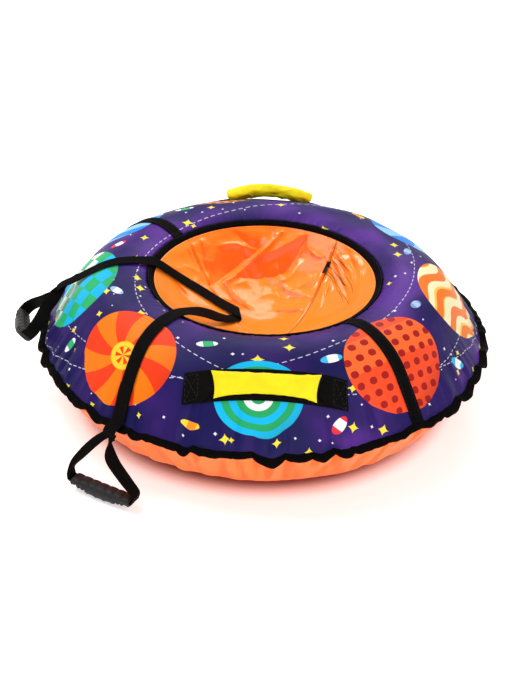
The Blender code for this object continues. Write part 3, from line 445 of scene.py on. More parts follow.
def upper_touch():
    """Where the straight cloth above the seam meets the inflated curve: angle, radius and height. On a circle of
    radius 1 the line from an outside point touches at its own angle plus the arc cosine of 1 / distance."""
    out = (FLANGE_RADIUS - SECTION_RADIUS) / SECTION_OUTWARD
    up = (FLANGE_TOP - SECTION_HEIGHT) / SECTION_RISE
    turn = math.atan2(up, out) + math.acos(1 / math.hypot(out, up))
    return turn, SECTION_RADIUS + SECTION_OUTWARD * math.cos(turn), SECTION_HEIGHT + SECTION_RISE * math.sin(turn)


def cover_height(radius):
    """Height of the plain cover at a distance from the axis: quarter ellipses, then a straight line to the seam."""
    _, touch_radius, touch_height = upper_touch()
    reach = np.where(radius < SECTION_RADIUS, SECTION_INWARD, SECTION_OUTWARD)
    curved = SECTION_HEIGHT + SECTION_RISE * np.sqrt(1 - np.clip((radius - SECTION_RADIUS) / reach, -1, 1) ** 2)
    slope = (FLANGE_TOP - touch_height) / (FLANGE_RADIUS - touch_radius)
    straight = np.maximum(touch_height + slope * (radius - touch_radius), FLANGE_TOP)
    return np.where(radius < touch_radius, curved, straight)


def cover_slope(radius, step):
    """Rise of the plain cover for each metre outwards, measured over a step to both sides."""
    return (cover_height(radius + step) - cover_height(radius - step)) / (2 * step)


def pinch_angles():
    """Angles of the places where the seam is gathered, at uneven steps of 26 to 84 mm round it."""
    steps = np.random.default_rng(12).uniform(0.026, 0.084, int(2 * math.pi * SEAM_RADIUS / 0.055))
    return np.append(0, np.cumsum(steps)) / steps.sum() * 2 * math.pi


PINCHES = pinch_angles()
SWINGS = np.random.default_rng(13).uniform(0.15, 1.0, len(PINCHES))


def at_pinches(turn):
    """Where angles lie among the pinches: a share from 0 at one pinch to 1 at the next, how strong the next bulge
    is, the distance along the seam to the nearer pinch, and that pinch's own strength."""
    turn = np.mod(turn, 2 * math.pi)
    place = np.clip(np.searchsorted(PINCHES, turn, side="right") - 1, 0, len(PINCHES) - 2)
    start, end = PINCHES[place], PINCHES[place + 1]
    share = (turn - start) / (end - start)
    nearer = np.where(share < 0.5, place, (place + 1) % (len(PINCHES) - 1))
    off = np.minimum(share, 1 - share) * (end - start) * SEAM_RADIUS
    return share, SWINGS[place], off, SWINGS[(nearer * 7 + 3) % len(SWINGS)]


def seam_wave(turn):
    """How far the outer seam leaves its plain circle at each angle, upwards and outwards: slow noise, and a bow
    between every two pinches, as a half sine to a power below 1, so that it is sharp at the pinches."""
    ring = around(turn, SEAM_RADIUS)
    share, swing, _, _ = at_pinches(turn)
    bow = swing * np.sin(math.pi * share) ** 0.8
    up = 0.0062 * lumps(ring, 0.062, 3) + 0.0026 * lumps(ring, 0.021, 4) + 0.0050 * (0.40 - bow)
    out = 0.0026 * lumps(ring, 0.034, 5) + 0.0032 * (bow - 0.5)
    return up, out


def off_line(x, y, points):
    """Distance over the plan from places to a line through points."""
    best = np.full(np.shape(x), np.inf)
    for start, end in zip(points[:-1], points[1:]):
        leg = np.subtract(end, start)[:2]
        dx, dy = x - start[0], y - start[1]
        along = np.clip((dx * leg[0] + dy * leg[1]) / max(leg @ leg, 1e-12), 0, 1)
        best = np.minimum(best, np.hypot(dx - along * leg[0], dy - along * leg[1]))
    return best


def under_leash(x, y):
    """1 under the leash and 0 well beside it, over plan points."""
    return eased((0.028 - off_line(x, y, LEASH_ROUTE)) / 0.014)


def cover_bump(x, y):
    """Rise of the cloth off the plain cover over plan points: a groove that runs up from each pinch and leans a
    little, gathers that fan up from the seam, small ones at the opening's tape and slow swells between them.
    The cloth is pressed flat under the leash."""
    radius, turn = np.hypot(x, y), np.arctan2(y, x)
    near_seam = eased((radius - 0.385) / 0.058)
    near_opening = eased((0.272 - radius) / 0.036)
    fan = around(turn, SEAM_RADIUS, radius * 0.14)
    lean = 0.10 * lumps(around(turn, SEAM_RADIUS), 0.05, 16)
    _, _, off, strength = at_pinches(turn + lean * (SEAM_RADIUS - radius) / 0.10)
    reach = eased((radius - SEAM_RADIUS + 0.035 + 0.050 * strength) / 0.050)
    grooves = -0.0062 * strength * np.exp(-((off / 0.0065) ** 1.2)) * reach + 0.0022 * strength * reach
    gathers = (0.0042 * lumps(fan, 0.025, 11) + 0.0016 * lumps(fan, 0.011, 12)) * near_seam
    small = 0.0016 * lumps(fan, 0.016, 13) * near_opening
    swell = 0.0026 * lumps(np.stack([x, y, 0 * x], axis=-1), 0.100, 14) * (1 - near_opening)
    pressed = under_leash(x, y)
    return (grooves + gathers + small + swell * (1 - near_seam * 0.5)) * (1 - pressed) - 0.0007 * pressed


def handle_dent(x, y):
    """How far the tight base strips of the two handles press the cloth in: a bell across each strip, flat along it."""
    across = np.exp(-(((np.abs(y) - HANDLE_DISTANCE) / 0.045) ** 2))
    return HANDLE_DENT * across * np.exp(-(((x - HANDLE_SHIFT) / (HANDLE_LENGTH / 2)) ** 4))


def cover_places(plan, lift=0.0):
    """Places a lift above the cloth over plan points (..., 2), and the plain cover's normals there."""
    x, y = plan[..., 0], plan[..., 1]
    radius = np.hypot(x, y)
    slope = cover_slope(radius, 0.0004)
    normals = unit(np.stack([-slope * x / radius, -slope * y / radius, np.ones_like(x)], axis=-1))
    up, out = seam_wave(np.arctan2(y, x))
    at_seam = eased((radius - 0.395) / 0.050)
    places = np.stack([x, y, cover_height(radius) + up * at_seam], axis=-1)
    places[..., :2] += (out * at_seam / radius)[..., None] * plan
    rise = cover_bump(x, y) * (1 - eased((radius - 0.436) / 0.010)) - handle_dent(x, y)
    return places + normals * (rise + lift)[..., None], normals


def cover_profile(rows):
    """Distances from the axis along the plain cover's section, closer together towards the seam, and the way along
    the cloth from the opening to each."""
    radius = np.linspace(OPENING_RADIUS, SEAM_RADIUS, 4000)
    walked = way_along(np.column_stack([radius, cover_height(radius)]))
    wanted = walked[-1] * (1 - np.linspace(1, 0, rows) ** 1.35)
    return np.interp(wanted, walked, radius), wanted


# The covers, their print and their tapes

# Round motifs of the print: angle and distance from the axis on the cloth's map, radius, kind, number of bands,
# turn of the pattern, and three colours
MOTIFS = (
    (-134, 0.352, 0.103, "wedges", 12, 20, (1.00, 0.205, 0.004), (0.95, 0.050, 0.008), (1.00, 0.66, 0.030)),
    (-91, 0.366, 0.080, "rings", 3, 0, (0.005, 0.50, 0.90), (0.02, 0.40, 0.13), (0.93, 0.97, 1.00)),
    (-47, 0.346, 0.106, "spots", 4, 40, (0.96, 0.080, 0.020), (0.40, 0.012, 0.010), (1.00, 0.150, 0.030)),
    (-3, 0.356, 0.094, "stripes", 4, 65, (1.00, 0.88, 0.52), (0.98, 0.20, 0.012), (1.00, 0.60, 0.06)),
    (35, 0.343, 0.084, "wedges", 10, 0, (0.01, 0.24, 0.85), (0.30, 0.62, 1.00), (0.90, 0.12, 0.55)),
    (70, 0.355, 0.078, "rings", 3, 0, (0.52, 0.19, 0.79), (0.92, 0.12, 0.50), (0.98, 0.75, 0.90)),
    (106, 0.340, 0.082, "spots", 5, 15, (0.75, 0.27, 0.10), (0.28, 0.08, 0.03), (0.88, 0.42, 0.20)),
    (144, 0.350, 0.090, "stripes", 3, -25, (0.30, 0.64, 0.92), (0.02, 0.30, 0.80), (0.97, 0.80, 0.22)),
    (183, 0.348, 0.098, "checks", 3, 35, (0.005, 0.50, 0.92), (0.025, 0.46, 0.15), (0.95, 0.98, 1.00)),
)

PALE, SKY, AZURE, DENIM = (0.93, 0.95, 0.98), (0.42, 0.58, 0.85), (0.05, 0.50, 0.85), (0.20, 0.33, 0.66)
ORANGE, AMBER, RED, GREEN = (0.97, 0.30, 0.02), (1.00, 0.72, 0.05), (0.88, 0.03, 0.06), (0.03, 0.45, 0.16)

# Small ovals of the print, banded across: angle, distance, half length, half width, turn and two colours
PEBBLES = (
    (-68, 0.296, 0.019, 0.009, 20, PALE, AZURE),
    (-108, 0.436, 0.020, 0.008, -30, ORANGE, AMBER),
    (-70, 0.432, 0.021, 0.011, 65, PALE, RED),
    (-25, 0.430, 0.022, 0.011, 10, PALE, (0.03, 0.48, 0.80)),
    (-22, 0.275, 0.014, 0.009, 50, SKY, DENIM),
    (-156, 0.415, 0.020, 0.009, 15, GREEN, PALE),
    (-161, 0.262, 0.017, 0.008, -40, PALE, (0.30, 0.52, 0.92)),
    (-110, 0.262, 0.018, 0.008, 5, GREEN, PALE),
    (-174, 0.440, 0.018, 0.009, 80, (0.95, 0.72, 0.48), (0.90, 0.45, 0.25)),
    (17, 0.432, 0.020, 0.010, -20, PALE, RED),
    (17, 0.262, 0.016, 0.008, 70, SKY, DENIM),
    (52, 0.280, 0.018, 0.008, 120, ORANGE, AMBER),
    (88, 0.425, 0.020, 0.010, 30, PALE, AZURE),
    (124, 0.275, 0.019, 0.008, 10, GREEN, PALE),
    (125, 0.432, 0.018, 0.009, -50, ORANGE, AMBER),
    (163, 0.275, 0.018, 0.008, 35, PALE, RED),
    (163, 0.435, 0.020, 0.010, 100, SKY, DENIM),
)

# Thin dashed rings of the print: centre and radius
DASHED_RINGS = (((0.09, -0.05, 0), 0.30), ((-0.12, 0.06, 0), 0.38), ((0.02, 0.11, 0), 0.46))

# Four-pointed sparkles and dots of the print: size of a cell, reach of its figure, share of cells left bare, and colour
SPARKLES = ((0.062, 0.0135, 0.42, (1.00, 0.78, 0.05)), (0.043, 0.0050, 0.62, (0.92, 0.88, 0.95)))

# Width of the cloth that the map's unit square holds, and the map's distance from the axis at the opening and its
# stretch from there out
PRINT_SPAN, PRINT_START, PRINT_STRETCH = 1.10, 0.185, 1.08


def figure_place(tree, place, angle, distance, turn, size):
    """The print's places as one of its figures sees them, from its centre and in units of its size, and how far out
    they lie there."""
    angle = math.radians(angle)
    centre = (distance * math.cos(angle), distance * math.sin(angle))
    local = local_place(tree, place, centre, math.radians(turn), size)
    return local, vector_calc(tree, "LENGTH", local)


def wave(tree, value, times, shift=None):
    """The sine of a value times a number, plus a shift."""
    if shift is None:
        return calc(tree, "SINE", calc(tree, "MULTIPLY", value, times))
    return calc(tree, "SINE", calc(tree, "MULTIPLY_ADD", value, times, shift))


def motif_waves(tree, kind, bands, x, y, reach):
    """The two waves that a motif's colours are read from: the first parts its ground from its second colour at 0, and
    the second draws its third colour where it is high."""
    turns = math.pi * bands
    if kind == "wedges":
        spokes = calc(tree, "MULTIPLY", calc(tree, "ARCTAN2", y, x), bands / 2)
        return wave(tree, reach, 2.2, spokes), calc(tree, "SUBTRACT", 0.95, calc(tree, "MULTIPLY", reach, 1.5))
    if kind == "rings":
        return wave(tree, reach, 2 * turns), wave(tree, reach, 2 * turns / 3)
    if kind == "stripes":
        waved = calc(tree, "MULTIPLY_ADD", wave(tree, x, 4.4), 0.13, y)
        return wave(tree, waved, turns), wave(tree, waved, turns / 2, 0.6)
    product = calc(tree, "MULTIPLY", wave(tree, x, turns), wave(tree, y, turns))
    if kind == "spots":
        product = calc(tree, "SUBTRACT", calc(tree, "ABSOLUTE", product), 0.62)
    return product, wave(tree, y, 2.6, 0.5)


def motif(tree, place, below, angle, distance, radius, kind, bands, turn, ground, second, third):
    """One round motif laid over the print below: wedges, rings, stripes, spots or checks inside a disc, each read from
    sines of the angle, the distance or the two directions, with a darker far side."""
    local, reach = figure_place(tree, place, angle, distance, turn, (radius, radius))
    x, y, _ = axes_of(tree, local)
    pattern, thin = motif_waves(tree, kind, bands, x, y, reach)
    colour = mixed(tree, ramp(tree, thin, 0.66, 0.70), ground, third)
    colour = mixed(tree, ramp(tree, pattern, -0.03, 0.03), colour, second)
    if kind in ("wedges", "stripes"):
        from_line = calc(tree, "ABSOLUTE", calc(tree, "ADD", thin, -0.60))
        colour = mixed(tree, ramp(tree, from_line, 0.10, 0.05), colour, third)
    side = vector_calc(tree, "DOT_PRODUCT", local, (0.6, -0.8, 0))
    colour = mixed(tree, ramp(tree, side, 0.55, 1.05, 0.0, 0.35), colour, toned(second, 0.5))
    return mixed(tree, ramp(tree, reach, 1.005, 0.995), below, colour)


def pebble(tree, place, below, angle, distance, long, wide, turn, first, second):
    """One small oval over the print below, in two colours banded across its length."""
    local, reach = figure_place(tree, place, angle, distance, turn, (long, wide))
    x, _, _ = axes_of(tree, local)
    band = calc(tree, "GREATER_THAN", calc(tree, "ABSOLUTE", calc(tree, "SUBTRACT", x, 0.12)), 0.48)
    return mixed(tree, ramp(tree, reach, 1.02, 0.97), below, mixed(tree, band, first, second))


def dashed_ring(tree, place, centre, ring):
    """1 on a thin ring's dashes: near its radius, on part of each 14 mm along it."""
    local = vector_calc(tree, "SUBTRACT", place, centre)
    off = calc(tree, "ABSOLUTE", calc(tree, "SUBTRACT", vector_calc(tree, "LENGTH", local), ring))
    x, y, _ = axes_of(tree, local)
    along = calc(tree, "MULTIPLY", calc(tree, "ARCTAN2", y, x), ring / 0.014)
    dash = calc(tree, "GREATER_THAN", calc(tree, "FRACT", along), 0.42)
    return calc(tree, "MULTIPLY", ramp(tree, off, 0.0011, 0.0007), dash)


def sparkles(tree, place, below, size, spread, bare, tint):
    """Figures over the print below, one in each cell but the share left bare. A distance with an exponent below 1
    draws them in between four points, and each cell's own colour sets the figure's size and whether it shows."""
    cell = node(tree, "TexVoronoi", place, voronoi_dimensions="2D", distance="MINKOWSKI")
    put_all(tree, cell, {"Exponent": 0.62, "Scale": 1 / size})
    reach = calc(tree, "MULTIPLY", cell.outputs["Distance"], size)
    first, second, _ = node(tree, "SeparateColor", cell.outputs["Color"]).outputs
    inside = calc(tree, "LESS_THAN", reach, calc(tree, "MULTIPLY_ADD", first, spread * 0.5, spread * 0.5))
    return mixed(tree, calc(tree, "MULTIPLY", inside, calc(tree, "GREATER_THAN", second, bare)), below, tint)


def printed_cloth(name, ground, glow_colour, print_depth):
    """Satin-faced cloth with a generic print of round motifs, ovals, sparkles, dots and dashed rings on indigo with
    paler clouds. The print lies on the unrolled cloth; the weave is a fine cross of sines, and the satin's gloss
    varies slowly."""
    made, tree, shader = new_material(name)
    flat = vector_calc(tree, "SUBTRACT", cloth_place(tree), (0.5, 0.5, 0))
    place = scaled(tree, flat, PRINT_SPAN)
    out = vector_calc(tree, "LENGTH", place)
    clouds = calc(tree, "ADD", noise(tree, place, 6.0), ramp(tree, out, 0.19, 0.34, 0.07, -0.04))
    middle = tuple(0.82 * low + 0.18 * high for low, high in zip(ground, glow_colour))
    colour = mixed(tree, ramp(tree, clouds, 0.36, 0.52), tuple(ground), middle)
    colour = mixed(tree, ramp(tree, clouds, 0.50, 0.72), colour, tuple(glow_colour))
    lines = 0.0
    for row in DASHED_RINGS:
        lines = calc(tree, "MAXIMUM", lines, dashed_ring(tree, place, *row))
    colour = mixed(tree, calc(tree, "MULTIPLY", lines, 0.85), colour, (0.75, 0.72, 0.85))
    for draw, rows in ((sparkles, SPARKLES), (motif, MOTIFS), (pebble, PEBBLES)):
        for row in rows:
            colour = draw(tree, place, colour, *row)
    wrinkles = noise(tree, place, 38, 3, 0.55, 0.3)
    height = calc(tree, "MULTIPLY_ADD", cross_weave(tree, place, 0.0011), 0.10, wrinkles)
    bump(tree, shader, height, print_depth, 0.0014)
    dress(tree, shader, colour, ramp(tree, noise(tree, place, 11), 0.3, 0.7, 0.36, 0.50), 0.14)
    return made


def coated_sheet(name, light, deep, rough, creases, crease_scale):
    """Coated slick cloth with painted shade: deeper in colour on one side of each fold, as the mesh's stored fold shade
    says, with a slow drift, fine crazing, scuffs where it slides and soft dents in its gloss."""
    made, tree, shader = new_material(name)
    place = object_place(tree)
    # Painted shade on the folds, from the stored shade
    share = fold_shade_share(tree, noise(tree, place, 7, 3, 0.55), 0.6)
    colour = mixed(tree, ramp(tree, share, 0.1, 0.75), light, deep)
    scuffs = noise(tree, vector_calc(tree, "MULTIPLY", place, (40, 160, 40)), 1.0, 3, 0.7)
    _, _, height = axes_of(tree, place)
    low = calc(tree, "MULTIPLY", ramp(tree, height, 0.012, 0.002), 0.45)
    rubbed = calc(tree, "MULTIPLY", ramp(tree, scuffs, 0.56, 0.72), low)
    dents = noise(tree, place, crease_scale, 4, 0.6, 0.5)
    bump(tree, shader, calc(tree, "MULTIPLY_ADD", noise(tree, place, 900, 1), 0.05, dents), creases, 0.0020)
    dress(tree, shader, mixed(tree, rubbed, colour, toned(light, 0.6, 0.3)),
          ramp(tree, dents, 0.3, 0.7, rough - 0.05, rough + 0.07), 0.06)
    return made


def woven_webbing(name, colour, thread=0.0016):
    """Woven webbing read along its own length and width in metres: slanted ribs both ways, painted shade that darkens
    the low parts of the ribs, and paler worn threads.
    """
    made, tree, shader = new_material(name)
    x, y, _ = axes_of(tree, cloth_place(tree))
    along = calc(tree, "MULTIPLY", x, 2 * math.pi / (thread * 1.6))
    across = calc(tree, "MULTIPLY", y, 2 * math.pi / thread)
    chevron = calc(tree, "ABSOLUTE", wave(tree, across, 0.25))
    ribs = wave(tree, chevron, 2.5, along)
    cords = calc(tree, "SINE", across)
    height = calc(tree, "MULTIPLY_ADD", calc(tree, "MULTIPLY", ribs, cords), 0.6, cords)
    worn = noise(tree, object_place(tree), 90, 3, 0.6)
    shade = mixed(tree, ramp(tree, worn, 0.45, 0.75), colour, toned(colour, 1.6, 0.002))
    # Painted shade: the ribs' hollows are drawn darker than their tops
    hollow_shaded = mixed(tree, ramp(tree, height, -1.0, 1.3), toned(colour, 0.35), shade)
    bump(tree, shader, height, 0.55, 0.0004)
    dress(tree, shader, hollow_shaded, ramp(tree, worn, 0.3, 0.8, 0.62, 0.80), 0.035)
    return made


def plain_cloth(name, colour, shade, rough, thread=0.0009):
    """Plain woven cloth read in object places: a fine cross weave and a slow drift of shade."""
    made, tree, shader = new_material(name)
    place = object_place(tree)
    drift = noise(tree, place, 30, 3, 0.55)
    wrinkles = noise(tree, place, 120, 3, 0.6)
    bump(tree, shader, calc(tree, "MULTIPLY_ADD", cross_weave(tree, place, thread), 0.22, wrinkles), 0.45, 0.0007)
    dress(tree, shader, mixed(tree, ramp(tree, drift, 0.35, 0.7), colour, shade),
          ramp(tree, drift, 0.3, 0.7, rough - 0.06, rough + 0.06), 0.15)
    return made


def moulded(name, colour, rough, grain=700.0, metallic=0.0, depth=0.12, gloss=0.5):
    """Moulded or cast stuff: fine grain, slow variation of gloss and a little paler where it is rubbed."""
    made, tree, shader = new_material(name)
    place = object_place(tree)
    slow = noise(tree, place, 45, 3, 0.6)
    bump(tree, shader, noise(tree, place, grain, 2), depth, 0.0005)
    dress(tree, shader, mixed(tree, ramp(tree, slow, 0.5, 0.8), colour, toned(colour, 1.6, 0.003)),
          ramp(tree, slow, 0.3, 0.7, rough - 0.06, rough + 0.08), gloss, {"Metallic": metallic})
    return made


def top_cover(context):
    """The printed cloth: circles round the axis over the tube's section, closer together towards the seam, moved by
    the bump above."""
    radius, walked = cover_profile(78)
    turn = once_round(600)
    grid, _ = cover_places(around(turn[None], radius[:, None])[..., :2])
    spread = (PRINT_START + PRINT_STRETCH * walked)[:, None]
    uv = 0.5 + around(turn[None], spread)[..., :2] / PRINT_SPAN
    mesh = grid_mesh("top_cover_cloth", grid[::-1], closed_columns=True, uv=uv[::-1])
    colours = context.scene.snow_tube_colours
    finish = printed_cloth("printed_cloth", colours.ground, colours.glow, context.scene.snow_tube_sizes.weave_depth)
    piece = add_piece("top_cover_cloth", mesh, finish, replaces=["top_cover"])
    thicken(piece, CLOTH_WALL)


def bottom_cover(context):
    """The slick sheet: from the seam round under the tube to the middle, flat where it stands, with creases that
    run down from the seam and fade before the ground."""
    out = (FLANGE_RADIUS - SECTION_RADIUS) / SECTION_OUTWARD
    up = (FLANGE_BASE - SECTION_HEIGHT) / SECTION_HEIGHT
    touch = math.atan2(up, out) - math.acos(1 / math.hypot(out, up))
    angle = np.linspace(touch, -math.pi / 2, 400)
    curve = np.column_stack([SECTION_RADIUS + SECTION_OUTWARD * np.cos(angle),
                             SECTION_HEIGHT + SECTION_HEIGHT * np.sin(angle)])
    fine, way = spaced(np.vstack([[(SEAM_RADIUS, FLANGE_BASE)], curve, [(0.03, 0.0)]]), 2000)
    walked = way[-1] * np.linspace(0, 1, 62) ** 1.6
    profile = np.column_stack([np.interp(walked, way, column) for column in fine.T])
    turn = once_round(780)
    radius, height = profile[:, :1], profile[:, 1:]
    lift, reach = seam_wave(turn)
    near_seam = eased(1 - walked / 0.060)[:, None]
    down = walked[:, None]
    fan = around(turn[None], SEAM_RADIUS, down * 0.30)
    lean = 0.35 * lumps(around(turn[None], SEAM_RADIUS, 0 * down), 0.045, 24)
    _, _, off, strength = at_pinches(turn[None] + lean * down)
    widening = 0.006 + 0.16 * down
    grooves = -0.0065 * strength * np.exp(-((off / widening) ** 1.1)) * eased(1 - down / (0.04 + 0.12 * strength))
    facets = 0.0130 * (0.45 - np.abs(lumps(fan, 0.052, 21))) + 0.0022 * lumps(fan, 0.018, 22)
    facets = facets * eased(down / 0.012) * (0.5 + 0.5 * eased(1 - down / 0.19))
    folds = (grooves * eased(down / 0.006) + facets) * eased(height / 0.022)
    grid = around(turn[None], radius + reach * near_seam + folds, height + lift * near_seam)
    mesh = grid_mesh("bottom_cover_sheet", grid, closed_columns=True)
    # Painted shade: each fold is drawn deeper on the side that faces one way round the axis, and not near the ground
    normals = unit(np.cross(np.roll(grid, -1, axis=1) - np.roll(grid, 1, axis=1), np.gradient(grid, axis=0)))
    sideways = (normals * around(turn + math.pi / 2, 1.0)[None]).sum(axis=-1)
    deep = np.clip(0.30 + 1.8 * sideways, 0, 1) * eased(height / 0.01)
    keep_painted_fold_shade(mesh, deep)
    with editing(mesh) as shape:
        fill_middle(shape)
        face_along_z(shape, [face for face in shape.faces if face.calc_center_median().z < 0.001], -1)
    base = context.scene.snow_tube_colours.base
    # The second, deeper colour is the painted shade of the folds
    finish = coated_sheet("base_sheet", base, tuple(part**1.25 for part in base), 0.36, 0.25, 26)
    piece = add_piece("bottom_cover_sheet", mesh, finish, replaces=["bottom_cover"])
    thicken(piece, CLOTH_WALL)


def ruffled_tape(context):
    """The gathered binding round the outer seam: a folded section carried round. It follows the seam's bows where it
    is sewn; its free fold hangs lower and stands further out between the pinches, as a half sine to a low power, and
    is drawn in sharply at each pinch."""
    swing_depth = context.scene.snow_tube_sizes.ruffle_swing
    turn = once_round(1500)
    ring = around(turn, SEAM_RADIUS)
    up, out = seam_wave(turn)
    share, swing, _, _ = at_pinches(turn)
    bow = np.sin(math.pi * share) ** 0.6
    free_up = -swing_depth * swing * (bow - 0.35) + 0.0040 * lumps(ring, 0.050, 7) + 0.0022 * lumps(ring, 0.014, 8)
    free_out = 0.0036 * (swing * bow - 0.5) + 0.0018 * lumps(ring, 0.024, 9)
    inner, reach = SEAM_RADIUS - 0.010, 0.0195
    section = ((0.0, 0.0017), (0.25, 0.0020), (0.55, 0.0026), (0.82, 0.0030), (0.96, 0.0022), (1.0, 0.0),
               (0.96, -0.0022), (0.82, -0.0030), (0.55, -0.0026), (0.25, -0.0020), (0.0, -0.0017))
    grid = np.empty((len(turn), len(section), 3))
    for column, (along, rise) in enumerate(section):
        flow = along**1.2
        radius = inner + out + along * reach + free_out * flow
        rest = 0.4 * (cover_height(np.float64(inner)) - SEAM_HEIGHT) * (1 - along)
        puffed = rise * (0.75 + 0.6 * bow * (1 - abs(2 * along - 1)))
        grid[:, column] = around(turn, radius, SEAM_HEIGHT + rest + up + free_up * flow + puffed)
    widths = np.array([along * reach + (0 if rise > 0 else 0.03) for along, rise in section])
    mesh = outwards(grid_mesh("rim_tape_ruffle", grid, closed_rows=True, closed_columns=True,
                              uv=paired(turn[:, None] * SEAM_RADIUS, widths[None])))
    finish = woven_webbing("rim_tape", context.scene.snow_tube_colours.tape, 0.0012)
    add_piece("rim_tape_ruffle", mesh, finish, replaces=["rim_tape"])


# Section of the opening's tape, once round: share of its width outwards, side of its middle, and level up the cloth
BINDING_SECTION = (
    (0.0, -0.5, 0.0), (0.02, 0.6, 0.3), (0.2, 1.0, 0.5), (0.6, 1.1, 1.0), (0.93, 1.0, 1.0), (1.0, 0.3, 1.0),
    (1.0, -0.9, 1.0), (0.6, -1.0, 1.0), (0.2, -1.0, 0.4), (0.02, -1.3, 0.0),
)


def binding_places(turn, share, side, level):
    """Places of the opening's tape: a share of its width outwards, a side of its middle and a level up the cloth,
    with small waves where its stitches pull."""
    ring = around(turn, OPENING_RADIUS)
    pucker = 0.0010 * lumps(ring, 0.012, 31) + 0.0012 * lumps(ring, 0.045, 32)
    high = float(cover_height(OPENING_RADIUS))
    low = high - OPENING_TAPE_WIDTH / 2 - 0.001
    rise = low + (high - low) * (0.55 * level + 0.45 * min(1, share * 1.6)) + side * 0.0017
    return around(turn, OPENING_RADIUS - OPENING_TAPE_WIDTH * (1 - share) + 0.6 * pucker, rise + pucker)


def opening_binding(context):
    """The tape round the seat's opening: its folded flat section carried round."""
    turn = once_round(720)
    grid = np.stack([binding_places(turn, *row) for row in BINDING_SECTION], axis=1)
    widths = np.array([share * OPENING_TAPE_WIDTH + (0 if side > 0 else 0.02) for share, side, _ in BINDING_SECTION])
    mesh = outwards(grid_mesh("opening_tape_binding", grid, closed_rows=True, closed_columns=True,
                              uv=paired(turn[:, None] * OPENING_RADIUS, widths[None])))
    finish = woven_webbing("opening_tape", context.scene.snow_tube_colours.tape, 0.0012)
    add_piece("opening_tape_binding", mesh, finish, replaces=["opening_tape"])


# The seat

# Creases of the seat's cloth, read as lines over the plan: points, rise in millimetres, and how fast each side falls
# away, left and right of the line's direction, in millimetres
CREASES = (
    (((-0.070, 0.208), (-0.038, 0.189), (-0.017, 0.178), (-0.067, 0.132), (-0.112, 0.062)), -7.0, 7, 16),
    (((0.036, 0.212), (0.019, 0.189), (-0.016, 0.149), (-0.056, 0.109), (-0.080, 0.080)), 6.0, 10, 9),
    (((0.095, 0.200), (0.050, 0.179), (-0.006, 0.153), (-0.030, 0.140)), 6.5, 6, 20),
    (((0.086, 0.190), (0.041, 0.133), (-0.005, 0.118), (-0.053, 0.104)), -6.5, 9, 12),
    (((0.091, 0.172), (0.107, 0.145), (0.128, 0.136)), 3.0, 6, 6),
    (((0.033, 0.122), (0.039, 0.084), (0.062, 0.058), (0.096, 0.037)), 3.5, 7, 10),
    (((-0.084, 0.101), (-0.066, 0.045), (-0.023, 0.004)), 3.5, 8, 8),
    (((0.010, 0.014), (0.051, 0.001), (0.076, -0.003), (0.085, -0.049)), -2.6, 6, 9),
    (((-0.138, 0.171), (-0.124, 0.131), (-0.112, 0.064)), 4.0, 8, 8),
    (((-0.104, 0.162), (-0.061, 0.178), (-0.027, 0.170)), 3.0, 7, 7),
    (((-0.038, 0.189), (-0.047, 0.163), (-0.037, 0.150), (-0.021, 0.155)), 3.0, 6, 6),
    (((0.025, 0.150), (0.033, 0.119), (0.000, 0.106)), 3.0, 7, 7),
    (((0.121, 0.074), (0.119, 0.036), (0.112, -0.018)), 2.6, 5, 8),
    (((0.133, 0.065), (0.126, 0.030)), 1.8, 5, 5),
    (((0.134, 0.158), (0.156, 0.113), (0.168, 0.050)), -2.4, 4, 5),
    (((0.131, 0.151), (0.151, 0.103), (0.169, 0.032)), 2.6, 4, 4),
    (((0.127, 0.138), (0.146, 0.098), (0.168, 0.010), (0.166, -0.037)), -2.4, 4, 4),
    (((0.126, 0.130), (0.141, 0.094), (0.161, 0.011)), 2.6, 4, 4),
    (((0.139, 0.159), (0.175, 0.075), (0.184, 0.010)), 2.4, 5, 5),
    (((0.169, 0.154), (0.176, 0.118), (0.188, 0.060)), -2.0, 5, 6),
    (((-0.030, -0.200), (-0.010, -0.150), (0.020, -0.110)), 1.6, 9, 9),
    (((0.090, -0.190), (0.075, -0.150), (0.050, -0.100)), -1.6, 9, 9),
    (((-0.150, -0.120), (-0.120, -0.080)), 1.4, 9, 9),
    (((-0.196, 0.040), (-0.170, 0.012), (-0.146, -0.022)), -3.2, 7, 14),
    (((-0.176, 0.060), (-0.156, 0.026), (-0.122, 0.004)), 3.0, 7, 9),
    (((0.192, 0.090), (0.196, 0.035), (0.186, -0.040)), 2.4, 6, 9),
)


def seat_height(x, y):
    """Height of the plain dish over plan points."""
    return SEAT_SPHERE_HEIGHT - np.sqrt(SEAT_SPHERE**2 - x**2 - y**2)


def crease_field(x, y):
    """Sum of the creases: each falls away exponentially from its line, at its own rate on each side, and fades
    towards the line's ends as a half sine does."""
    total = np.zeros_like(x)
    for points, rise, left_fall, right_fall in CREASES:
        rows = smooth_path(np.array(points), 6)
        legs = np.diff(rows, axis=0)
        lengths = np.linalg.norm(legs, axis=1)
        walked = way_along(rows)
        best = np.full(x.shape, np.inf)
        share = np.zeros_like(x)
        side = np.zeros_like(x)
        for start, leg, length, before in zip(rows, legs, lengths, walked):
            dx, dy = x - start[0], y - start[1]
            along = np.clip((dx * leg[0] + dy * leg[1]) / length**2, 0, 1)
            off = np.hypot(dx - along * leg[0], dy - along * leg[1])
            near = off < best
            best = np.where(near, off, best)
            share = np.where(near, (before + along * length) / walked[-1], share)
            side = np.where(near, leg[0] * dy - leg[1] * dx, side)
        fall = np.where(side > 0, left_fall, right_fall) / 1000
        fade = np.sin(math.pi * np.clip(share * 0.86 + 0.07, 0, 1)) ** 0.7
        total += rise / 1000 * np.exp(-((best / fall) ** 1.1)) * fade
    return total


